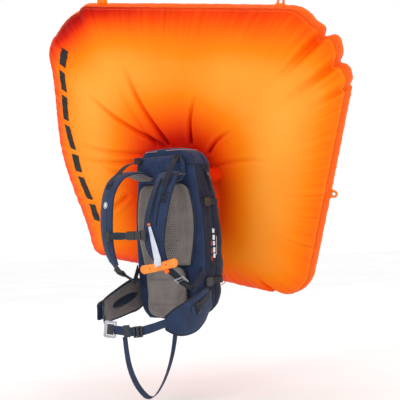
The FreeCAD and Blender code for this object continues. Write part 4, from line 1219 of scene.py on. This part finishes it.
def make_yoke():
    pad = make_cushion("yoke_cushion", "top_yoke", NAVY, 2.0, 5)

    def rule(points):
        points[:, 1] = np.clip(points[:, 1], -18.5, 12)
        front = points[:, 1] < -2
        for x in (-30, 30):
            off = points[:, 0] - x - (points[:, 2] - 250) * 0.1
            points[:, 1] += 1.5 * front * np.exp(-(off / 2.4) ** 2)
        points[:, 1] += 0.8 * front * np.sin(points[:, 0] / 11 + points[:, 2] / 19)
        return points

    hold(pad, rule)
    rows = []
    for x in (-30, 30):
        for shift in (-4, 4):
            rows.append(np.array([(x + shift + (z - 250) * 0.1, -17.6, z)
                                  for z in np.linspace(216, 282, 20)]))
    rows.append(np.array([(x, -17.0, 214) for x in np.linspace(-72, 72, 40)]))
    merge("yoke_stitching", stitches(rows, pitch=4.0, size=2.6), THREAD, slot="navy_fabric")


make_back_panel()
make_lumbar()
make_yoke()


# ------------------------------------------------------------------ shoulder harness

STRAPS = {
    "left": [(54, -27, 234), (62, -55, 226), (70, -84, 200), (77, -124, 154), (84, -158, 100), (88, -176, 47),
             (91, -174, 6), (96, -154, -34)],
    "right": [(-54, -24, 226), (-61, -76, 240), (-70, -134, 226), (-79, -168, 178), (-84, -178, 110),
              (-85, -178, 47), (-88, -166, 4), (-92, -140, -38)]}
STRAP_WIDTHS = [72, 70, 66, 66, 66, 62, 52, 36]
ADJUSTERS = {"left": (116, -90, -90), "right": (-99, -106, -62)}
ANCHORS = {"left": (130, -50, -118), "right": (-108, -24, -96)}
ANCHOR_LEVELS = {"left": -72, "right": -58}


def strap_across(side):
    yaws = [math.radians(20 * min(index / 3, 1)) * side for index in range(8)]
    return np.array([(math.cos(yaw), math.sin(yaw), 0) for yaw in yaws])


def on_band(points, side, normal, width, share, lift):
    """A line along a strap's outer face at a share of its width."""
    return points + side * (share * width / 2)[:, None] + normal * lift


def make_pad(name, side):
    route, across = STRAPS[name], strap_across(side)

    def shape(along, share, top):
        deep = (1 - np.abs(share) ** 3.2) ** 0.5 * 0.78 + 0.22
        deep = deep - 0.3 * np.exp(-((np.abs(share) - 0.78) / 0.07) ** 2)
        deep = deep - 0.1 * np.sin(along * 46 + 2 * share) ** 2 * (1 - along) * 0.5
        return deep * (1.05 - 0.25 * along)

    route = [(route[0][0], 6, route[0][2] - (2 if side > 0 else 4))] + route
    rings, points, frame_side, normal, width = crowned_rings(
        route, [72] + STRAP_WIDTHS, np.vstack([across[:1], across]), 15, 120, (3, 10), shape)
    outer = -1 if float(normal[70] @ np.array([0, -1, 0])) < 0 else 1
    pad = loft(f"shoulder_pad_{name}", rings, NAVY_MAPPED, replaces=[f"shoulder_strap_{name}"],
               slot="navy_fabric")
    pad.data.materials.append(LINING)
    ring_normal = normal * outer
    for face in pad.data.polygons:
        centre = face.center / MM
        index = int(np.argmin(np.linalg.norm(points - np.array(centre), axis=1)))
        if float((np.array(centre) - points[index]) @ ring_normal[index]) < -0.8:
            face.material_index = 1
    pad_normal = ring_normal
    edge = [points + frame_side * (s * (width / 2 - 0.6))[:, None] for s in (-1, 1)]
    binding = [ring_part(tube_rings(line[2:-2], 2.0, 8)) for line in edge]
    merge(f"pad_binding_{name}", binding, EDGING, slot="navy_fabric")
    rows = [on_band(points, frame_side, pad_normal, width, s, 6.2)[3:-4]
            for s in (-0.86, -0.7, 0.7, 0.86)]
    merge(f"pad_stitching_{name}", stitches(rows, pitch=3.8, size=2.5), THREAD, slot="navy_fabric")
    return points, frame_side, pad_normal


def make_cable_sleeve(points, across, normal):
    """The puffed tunnel over the release cable, its zip and the lifter patch."""
    first, last = 22, 84
    tunnel = []
    for i in range(first, last):
        share = (i - first) / (last - 1 - first)
        wide = 15 + 3 * math.sin(share * math.pi)
        high = 5.4 * min(1, 6 * share + 0.3, 5 * (1 - share) + 0.45)
        turn = np.linspace(0, math.pi, 11)
        base = points[i] + normal[i] * 6.0 - across[i] * 4.5
        arc = [base + across[i] * wide / 2 * math.cos(t) + normal[i] * high * math.sin(t) ** 0.7
               for t in turn]
        tunnel.append(arc + [base - normal[i] * 1.5 - across[i] * wide / 3,
                             base - normal[i] * 1.5 + across[i] * wide / 3])
    merge("cable_sleeve", [ring_part(np.array(tunnel))], NAVY_MAPPED, slot="navy_fabric")
    teeth = [points[i] + normal[i] * 7.2 + across[i] * 5.5 for i in range(first, last)]
    merge("sleeve_zip", [ring_part(tube_rings(np.array(teeth), 1.4, 6))], BLACK_WEB, slot="zip_tape")
    raised = np.array(teeth) + normal[first:last] * 1.3
    merge("sleeve_zip_teeth", stitches([raised], pitch=2.2, size=1.4, thick=0.6), BLACK,
          slot="zip_tape")
    patch_rows, low, high = [], 44, 58
    rings = []
    for i in range(low, high):
        s = np.linspace(-1, 1, 9)
        top = points[i] + across[i] * (s * 15 + 8)[:, None] + normal[i] * 8.4
        under = points[i] + across[i] * (s[::-1] * 15 + 8)[:, None] + normal[i] * 6.2
        rings.append(np.vstack([top, under]))
        patch_rows.append(points[i] + across[i] * 8 + normal[i] * 8.6)
    merge("lifter_patch", [ring_part(np.array(rings))], BLACK_WEB, slot="black_webbing")
    middle = np.array(patch_rows)
    wide = across[low:high] * 12
    cross = [middle + wide, middle - wide, np.array([middle[0] + wide[0], middle[-1] - wide[-1]]),
             np.array([middle[0] - wide[0], middle[-1] + wide[-1]])]
    merge("lifter_patch_stitching", stitches(cross, pitch=3.0, size=2.0, thick=0.4), THREAD,
          slot="black_webbing")


def make_pad_face(points, across, normal):
    """Webbing down the pad's face and a plain round badge."""
    strip = [points[i] + normal[i] * 6.6 for i in range(36, 116, 8)]
    webbing("pad_face_webbing_right", strip, [20] * len(strip), 1.6, across[70], NAVY_WEB, 60,
            slot="navy_webbing")
    badge_row = 66
    out, aside = normal[badge_row], across[badge_row]
    spot = points[badge_row] + out * 8.6 + aside * 4
    turn = np.linspace(0, 2 * math.pi, 40)
    up = unit(points[badge_row + 2] - points[badge_row - 2])
    badge = [spot + (aside * math.cos(t) + up * math.sin(t)) * 9.5 for t in turn]
    blob = [spot + out * 0.4 + (aside * math.cos(t) * 5.2 + up * math.sin(t) * 6)
            for t in turn]
    solid = []
    for loop_points, radius in ((badge, 0.8), (blob, 0.8)):
        solid.append(ring_part(tube_rings(np.array(loop_points), radius, 6)))
    disc = np.array([[spot + (aside * math.cos(t) * r + up * math.sin(t) * r * 1.1)
                      + out * h for t in turn[:-1]]
                     for r, h in ((5.2, -0.5), (5.0, 0.5), (2.4, 0.7), (0.2, 0.75))])
    solid.append(ring_part(disc))
    merge("pad_badge", solid, WHITE_INK, slot="white_webbing")


def make_harness():
    lifter_ends = {}
    for name, side in (("left", 1), ("right", -1)):
        points, across, normal = make_pad(name, side)
        seat = 46 if name == "left" else 50
        lifter_ends[name] = [points[i] + normal[i] * 8.6 + across[i] * (6 if name == "left" else 0)
                             for i in (seat - 4, seat + 3)]
        if name == "left":
            make_cable_sleeve(points, across, normal)
        else:
            make_pad_face(points, across, normal)
        # lower webbing through the ladder adjuster to its anchor
        end = points[-1]
        adjuster, anchor = np.array(ADJUSTERS[name], float), np.array(ANCHORS[name], float)
        side_way = strap_across(side)[-1]
        into, down = unit(adjuster - end), unit(anchor - adjuster)
        upper = webbing_part([points[-6] + normal[-6] * 5, end + into * 4, adjuster - into * 12,
                              adjuster + into * 2], [27, 26, 25, 25], 1.8, side_way, 40)
        lower = webbing_part([adjuster - down * 4, adjuster + down * 14, anchor], [25, 25, 25], 1.8,
                             side_way, 40)
        tail_away = unit(np.cross(down, side_way))
        tail_away = tail_away if tail_away[1] < 0 else -tail_away
        tail = webbing_part([adjuster + tail_away * 3, adjuster + down * 10 + tail_away * 5,
                             adjuster + down * 24 + tail_away * 4, adjuster + down * 34 + tail_away * 3.2],
                            [24, 24, 24, 23], 1.6, side_way, 30)
        merge(f"lower_webbing_{name}", [upper, lower, tail], BLACK_WEB, replaces=[f"strap_webbing_{name}"],
              slot="black_webbing")
        level = ANCHOR_LEVELS[name]
        rear = np.array([side * (bag_section(level)[0] + 1.2), 24, level])
        tab = webbing_part([anchor + unit(anchor - rear) * 3, (anchor + rear) / 2, rear],
                           [25, 27, 30], 2.4, Z, 30)
        merge(f"anchor_tab_{name}", [tab], NAVY_DARK, replaces=[f"strap_anchor_{name}"], slot="navy_fabric")
        toward = unit(rear - anchor)
        lines = [np.array([anchor + toward * 4 + Z * s * 10, rear - toward * 5 + Z * s * 12])
                 for s in (-1, 1)]
        lines = [line + np.cross(Z, toward) * 1.4 * side for line in lines]
        merge(f"anchor_stitching_{name}", stitches(lines, pitch=3.2, size=2.2), THREAD, slot="navy_fabric")

    lifters = {"left": [(76, -22, 292), (76, -27, 279), (79, -50, 262), (81, -76, 236)],
               "right": [(-74, -22, 292), (-74, -30, 279), (-75, -84, 264)]}
    for name, route in lifters.items():
        route = route + lifter_ends[name]
        webbing(f"lifter_webbing_{name}", route, [20] * len(route), 1.8, X, BLACK_WEB, 60,
                replaces=[f"load_lifter_{name}"], slot="black_webbing")


def make_sternum():
    """Chest strap: its gathered elastic, in place of the CAD's webbing."""
    def gather(share):
        return 1.9 * math.sin(share * 62) * min(1, share * 8, (1 - share) * 8)

    level, front = 52, -200
    elastic = webbing_part([(-57, front, level), (-36, front - 0.8, level + 0.6),
                            (-12, front - 0.6, level - 0.4), (5.4, front, level)],
                           [19, 22, 22, 19], 2.4, Z, 150, gather)
    merge("sternum_elastic", [elastic], ELASTIC, body="sternum_strap", replaces=["sternum_webbing"],
          slot="navy_webbing")


make_harness()
make_sternum()


# ------------------------------------------------------------------ trigger and its cable

DOWN = unit([30, -7.5, -104])
FERRULE = np.array([79.5, -188.5, 82])


def make_trigger():
    start, end = FERRULE + DOWN * 5.8, FERRULE + DOWN * 112
    webbing("trigger_ribbon", [start, start + (end - start) * 0.45, end], [8, 17, 24], 1.7, X, WHITE_WEB, 60,
            body="trigger", replaces=["trigger_webbing"], slot="white_webbing")
    tilt, turn = math.radians(10), math.radians(14)
    along = unit([math.cos(tilt) * math.cos(turn), math.sin(turn), math.sin(tilt)])
    centre = end + DOWN * 15.2
    face = unit(Y - along * (Y @ along))
    up = np.cross(along, face)
    up = up if up[2] > 0 else -up
    rings = []
    for share in np.linspace(-1, 1, 97):
        x = share * 59
        tip = math.sqrt(max(1 - max((abs(x) - 46) / 13, 0) ** 2, 0.03))
        waist = 1 - 0.14 * math.exp(-(x / 16) ** 2) + 0.05 * math.cos(x / 59 * math.pi * 2)
        rib = 1 - 0.07 * max(0, math.cos(x / 5.4 * math.pi)) * (18 < abs(x) < 50)
        tall, deep = 13 * tip * waist, 6.5 * tip * rib
        bow = 2.2 * (share ** 2) - 1
        turn_ring = np.linspace(0, 2 * math.pi, 36, endpoint=False)
        c, s = np.cos(turn_ring), np.sin(turn_ring)
        ring = centre + along * x + up * (bow + tall * np.sign(s) * np.abs(s) ** 0.75)[:, None]
        ring = ring + face * (deep * np.sign(c) * np.abs(c) ** 0.8)[:, None]
        rings.append(ring)
    loft("trigger_grip", rings, ORANGE, body="trigger", replaces=["trigger_handle"], slot="orange_plastic")
    bosses = []
    for x in (-4, 24, -28):
        base = centre + along * x - face * 6.0
        bosses.append(ring_part(np.array([base + (along * math.cos(t) + up * math.sin(t)) * r - face * h
                                          for r, h in ((2.2, -1), (2.0, 0.7), (1.2, 1.0), (0.2, 1.05))
                                          for t in np.linspace(0, 2 * math.pi, 16, endpoint=False)]
                                         ).reshape(4, 16, 3)))
    merge("trigger_grip_bosses", bosses, RED, body="trigger", slot="red_plastic")
    tab = [centre + along * 18 - up * 9 - face * 1, centre + along * 20 - up * 16 - face * 1.4,
           centre + along * 22 - up * 24 - face * 0.6]
    webbing("trigger_flag", tab, [14, 14, 13], 3.0, along, ORANGE_WEB, 20, body="trigger",
            slot="orange_plastic")
    wrap = [end - DOWN * 6 - face * 2.6, end + DOWN * 1 - face * 4.4, end + DOWN * 6 - face * 6.6,
            end + DOWN * 15 - face * 8.0]
    webbing("trigger_ribbon_wrap", wrap, [23, 23, 23, 22], 1.5, X, WHITE_WEB, 24, body="trigger",
            slot="white_webbing")

    route = [(61, -88, 219), (66, -123, 181), (73, -155.5, 139), (77.5, -182, 97), tuple(FERRULE)]
    line = evenly(through(route, 160), 160)
    rings = tube_rings(line, 2.5, 12)
    for i in range(160):
        rings[i] = line[i] + (rings[i] - line[i]) * (1 + 0.06 * math.sin(i * 2.1))
    cable = loft("release_cable_sheath", rings, BLACK_WEB, body=None, slot="black_plastic")
    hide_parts("cable_housing")
    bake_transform(cable)


make_trigger()


# ------------------------------------------------------------------ hip belt

WINGS = {
    "left": [(132, 8, -164), (135, -24, -181), (136, -62, -194), (133, -108, -203), (124, -150, -206),
             (112, -181, -206)],
    "right": [(-132, 8, -140), (-135, -30, -149), (-136, -74, -160), (-132, -122, -169), (-120, -162, -174),
              (-106, -188, -177)]}
WING_HEIGHTS = {"left": [80, 94, 101, 95, 78, 36], "right": [102, 97, 90, 82, 75, 68]}
BELT = [(109.5, -186.5, -208), (73, -199, -220), (38, -211, -228), (5, -223, -226), (-22, -233, -222)]
CATCH = [(-101.5, -195, -192), (-82, -213.5, -202), (-69, -226, -209)]


def bend_wing(piece):
    """Bakes a wing piece's placement into its mesh."""
    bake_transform(piece)
    return piece


def make_wing(name):
    side = 1 if name == "left" else -1
    route = [(side * 128, 44, WINGS[name][0][2] + 12)] + WINGS[name]
    heights = [WING_HEIGHTS[name][0] * 0.8] + WING_HEIGHTS[name]

    def shape(along, share, top):
        deep = (1 - np.abs(share) ** 4) ** 0.5 * 0.8 + 0.2
        deep = deep * (1 - 0.2 * np.exp(-((np.abs(share) - 0.84) / 0.05) ** 2))
        curve = share - 0.35 + 0.9 * (along - 0.55) ** 2 * 4
        deep = deep - 0.18 * np.exp(-(curve / 0.035) ** 2) * (along > 0.2)
        return deep * (1 + 0.14 * np.exp(-(share / 0.4) ** 2) * math.sin(along * math.pi))

    rings, points, across, normal, width = crowned_rings(route, heights, Z, 15, 110, (5, 20), shape, 64)
    outer = normal * np.sign(np.sum(normal * (np.array([side, -0.2, 0])), axis=1, keepdims=True))
    wing = loft(f"wing_pad_{name}", rings, NAVY_MAPPED, body=None, slot="navy_fabric")
    wing.data.materials.append(LINING)
    wing.data.materials.append(NAVY_DARK)
    for face in wing.data.polygons:
        centre = np.array(face.center) / MM
        index = int(np.argmin(np.linalg.norm(points - centre, axis=1)))
        off = centre - points[index]
        share, along = (off @ across[index]) / (width[index] / 2), index / 109
        if off @ outer[index] < -0.6 and abs(share) < 0.9:
            face.material_index = 1
    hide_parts(f"hip_wing_{name}")
    bend_wing(wing)

    rim = np.vstack([points[3:-2] + across[3:-2] * (width[3:-2] / 2 - 1.0)[:, None],
                     (points[3:-2] - across[3:-2] * (width[3:-2] / 2 - 1.0)[:, None])[::-1]])
    bend_wing(merge(f"wing_binding_{name}", [ring_part(tube_rings(rim, 2.9, 8))], EDGING, body=None,
                    slot="navy_fabric"))
    rows = [on_band(points, across, outer, width, s, 6.6)[6:-12] for s in (-0.8, 0.8)]
    scoop = [points[i] + across[i] * (width[i] / 2) * (0.35 - 0.9 * (i / (len(points) - 1) - 0.55) ** 2 * 4)
             + outer[i] * 7.2 for i in range(26, 96)]
    rows.append(np.array(scoop))
    bend_wing(merge(f"wing_stitching_{name}", stitches(rows, pitch=3.8, size=2.5), THREAD, body=None,
                    slot="navy_fabric"))
    if name == "right":
        # long oval recess in the lining
        loop = []
        for t in np.linspace(0, 2 * math.pi, 80):
            index = int(round(46 + 30 * math.cos(t)))
            loop.append(points[index] + across[index] * (2 + 13 * math.sin(t)) - outer[index] * 7.6)
        loop = np.array(loop)
        middle = loop.mean(0)
        rings = [middle + (loop[:-1] - middle) * scale - outer[46] * lift
                 for scale, lift in ((1.0, -1.2), (0.98, 0.5), (0.7, 0.2), (0.3, 0.1), (0.02, 0.1))]
        bend_wing(merge("wing_recess", [ring_part(np.array(rings))], NAVY_DARK, body=None,
                        slot="navy_fabric"))
        bend_wing(merge("wing_recess_piping", [ring_part(tube_rings(loop, 1.3, 6))], EDGING, body=None,
                        slot="navy_fabric"))
    else:
        # stabiliser webbing from the bag to the wing, with its sewn patch
        rings = []
        for i in range(40, 62):
            s = np.linspace(-1, 1, 7)
            base = points[i] + across[i] * 16 + outer[i] * 7.4
            rings.append(np.vstack([base + across[i] * (s * 12)[:, None] + outer[i] * 1.6,
                                    base + across[i] * (s[::-1] * 12)[:, None]]))
        bend_wing(merge("stabiliser_patch", [ring_part(np.array(rings))], NAVY_WEB, body=None,
                        slot="navy_webbing"))
        lead = [(129, 52, -142), (137, 26, -146), points[34] + across[34] * 20 + outer[34] * 10.5,
                points[46] + across[46] * 16 + outer[46] * 10]
        strap = merge("stabiliser_webbing", [webbing_part(lead, [20] * 4, 1.7, Z, 50)], BLACK_WEB, body=None,
                      slot="black_webbing")
        bend_wing(strap)
        bars = []
        for i in (44, 47, 50):
            base = points[i] + across[i] * 16 + outer[i] * 11.6
            run = unit(points[i + 1] - points[i])
            bar = np.array([base + across[i] * t for t in np.linspace(-15, 15, 14)])
            bars.append(ring_part(tube_rings(bar, 2.0, 8)))
            if i != 47:
                continue
            for s in (-14, 14):
                bars.append(ring_part(tube_rings(np.array([base + across[i] * s + run * t
                                                           for t in np.linspace(-9, 9, 8)]), 2.0, 8)))
        merge("stabiliser_lock", bars, BLACK, body="hip_wing_left", slot="black_plastic")
    return points, across, outer, width


def make_pocket():
    pocket = make_cushion("hip_pocket_pouch", "hip_pocket", NAVY_DARK, 1.2, 3,
                          body="hip_wing_right", voxel=3.5)

    def rule(points):
        points[:, 0] -= 1.2 * np.sin(points[:, 1] / 13 + points[:, 2] / 9) * 0.6
        return points

    hold(pocket, rule)


def make_belt():
    body = "hip_wing_left"
    main = webbing_part([(118, -172, -206)] + BELT, [24, 24, 26, 26, 26, 26], 2.2, Z, 90)
    fold = webbing_part([(-22, -233.2, -222), (-30, -238.6, -220.6), (-26, -237.2, -221), (6, -226.6, -225.6),
                         (24, -219.6, -227.6)], [25] * 5, 1.6, Z, 60)
    merge("belt_webbing_run", [main, fold], NAVY_WEB, body=body, replaces=["belt_webbing"],
          slot="navy_webbing")
    run = unit(np.array(BELT[1]) - np.array(BELT[0]))
    face = unit(np.cross(run, Z))
    face = face if face[1] < 0 else -face
    box = [np.array(BELT[0]) + run * a + Z * b + face * 1.7 for a, b in
           ((4, -8), (22, -8), (22, 8), (4, 8), (4, -8), (22, 8))]
    merge("belt_stitching", stitches([np.array(box)], pitch=2.8, size=1.9), THREAD, body=body,
          slot="navy_webbing")
    low, high = (np.array(corner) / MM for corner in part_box("belt_buckle_frame"))
    middle, run = (low + high) / 2, np.array((-0.929, -0.344, 0.138))
    out = unit(np.cross(run, Z)) * (1 if np.cross(run, Z)[1] < 0 else -1)
    up = np.cross(out, run)
    plate = [middle + run * x * 10.2 * k + up * z * 15.6 * k + out * h
             for k, h in ((1, -1.4), (1, 0.4), (0.86, 1.2))
             for x, z in ((-1, -1), (1, -1), (1, 1), (-1, 1))]
    merge("belt_buckle_plate", [ring_part(np.array(plate).reshape(3, 4, 3))], BLACK, body="belt_buckle",
          slot="black_plastic", smooth=False)
    catch = webbing_part(CATCH, [25] * 3, 2.2, Z, 40)
    keeper = webbing_part([(-92, -205, -197), (-84, -214.5, -201), (-76, -222.6, -205.4)],
                          [26, 27, 26], 1.6, Z, 20)
    merge("belt_catch_webbing", [catch, keeper], NAVY_WEB, body="hip_wing_right", replaces=["belt_catch"],
          slot="navy_webbing")


def zip_parts(tape_node, material_body, prefix, out):
    """A zip over a CAD tape: cloth tape, two rows of coil and stitched edges."""
    points = np.array([v.co for v in nodes[tape_node].data.vertices], float) / MM
    middle = points.mean(0)
    _, _, axes = np.linalg.svd(points - middle, full_matrices=False)
    along, across = axes[0], axes[1]
    normal = np.cross(along, across)
    normal = normal if normal @ np.array(out) > 0 else -normal
    half = np.abs((points - middle) @ along).max()
    line = np.array([middle + along * t for t in np.linspace(-half, half, 40)])
    tape = webbing_part(line, [8.4] * 40, 1.3, across, 40)
    merge(f"{prefix}_zip_tape", [tape], BLACK_WEB, body=material_body, replaces=[tape_node], slot="zip_tape")
    coil = []
    for k, spot in enumerate(np.linspace(-half + 1, half - 1, int(half * 2 / 1.7))):
        base = middle + along * spot + normal * 0.9 + across * (0.9 if k % 2 else -0.9)
        coil.append(stitches([np.array([base - across * 1.1, base + across * 1.1])], 10, 2.2, 0.5)[0])
    rows = [line + across * s + normal * 0.8 for s in (-3.4, 3.4)]
    merge(f"{prefix}_zip_coil", coil, BLACK, body=material_body, slot="zip_tape")
    merge(f"{prefix}_zip_stitching", stitches(rows, pitch=2.8, size=1.8, thick=0.25), THREAD,
          body=material_body, slot="zip_tape")


make_wing("left")
make_wing("right")
make_pocket()
make_belt()
zip_parts("side_zip", "root", "side", (1, 0.1, 0.1))
zip_parts("hip_zip", "hip_wing_right", "hip", (-1, -0.4, 0))


# ------------------------------------------------------------------ airbag neck and tethers

def make_neck():
    """Gathered cloth neck over the hose, and the two holding straps."""
    low, high = (np.array(corner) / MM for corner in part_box("airbag_hose"))
    middle = (low + high) / 2
    rings = []
    turn = np.linspace(0, 2 * math.pi, 72, endpoint=False)
    for share in np.linspace(0, 1, 40):
        y = low[1] + (high[1] - low[1]) * share
        radius = 20.5 + 4 * share ** 2
        pleat = 1 + 0.03 * np.sin(turn * 14 + share * 2) + 0.02 * np.sin(turn * 5 - share * 3)
        rings.append(np.column_stack([middle[0] + radius * pleat * np.cos(turn), np.full(72, y),
                                      middle[2] + radius * pleat * np.sin(turn)]))
    neck = loft("airbag_neck", rings, AIRBAG, replaces=["airbag_hose"], slot="airbag_fabric")
    # painted shade: the neck gets a fixed deep red from the airbag's painted light and shade ramp
    layer = neck.data.attributes.new("painted_shading", "FLOAT", "POINT")
    layer.data.foreach_set("value", np.full(len(neck.data.vertices), 0.2, np.float32))
    straps = []
    low, high = (np.array(corner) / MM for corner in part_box("airbag_tethers"))
    for side in (-30, 30):
        route = [(side, low[1], 250), (side, (low[1] + high[1]) / 2, 249), (side, high[1], 250)]
        straps.append(webbing_part(route, [25, 25, 25], 2.0, X, 30))
    merge("tether_webbing", straps, ORANGE_WEB, replaces=["airbag_tethers"], slot="airbag_fabric")
    return neck


make_neck()


# ------------------------------------------------------------------ finishes of the CAD's own hard parts

FINISHES = {
    BLACK: ["compression_buckles", "load_lifter_locks", "sternum_sliders", "sternum_buckle_female",
            "sternum_buckle_male", "belt_adjuster", "leg_strap_loop", "strap_adjuster_right",
            "pressure_gauge"],
    LENS_GREY: ["frame_sheet"],
    CHROME: ["strap_adjuster_left", "belt_buckle_frame", "airbag_eyelets"],
    STEEL: ["side_zip_slider", "side_zip_pull", "hip_zip_slider", "hip_zip_pull", "trigger_pin"],
    ALUMINIUM: ["cartridge", "frame_stays", "inflator_body"],
    BRASS: ["cartridge_neck"],
    COPPER: ["cable_ferrule"],
    RED: ["gauge_needle"],
    LENS: ["gauge_lens"],
}
ROUNDED = {"strap_adjuster_left", "strap_adjuster_right", "belt_adjuster", "leg_strap_loop",
           "load_lifter_locks"}


def dress(node, material):
    piece = nodes[node]
    piece.data.materials.clear()
    piece.data.materials.append(material)
    for face in piece.data.polygons:
        face.material_index = 0
    if node in ROUNDED:
        bevel = piece.modifiers.new("Bevel", "BEVEL")
        bevel.width = 0.0006
        bevel.segments = 2
        bevel.limit_method = "ANGLE"
        bevel.angle_limit = math.radians(40)


for material, members in FINISHES.items():
    for member in members:
        if member in nodes:
            dress(member, material)
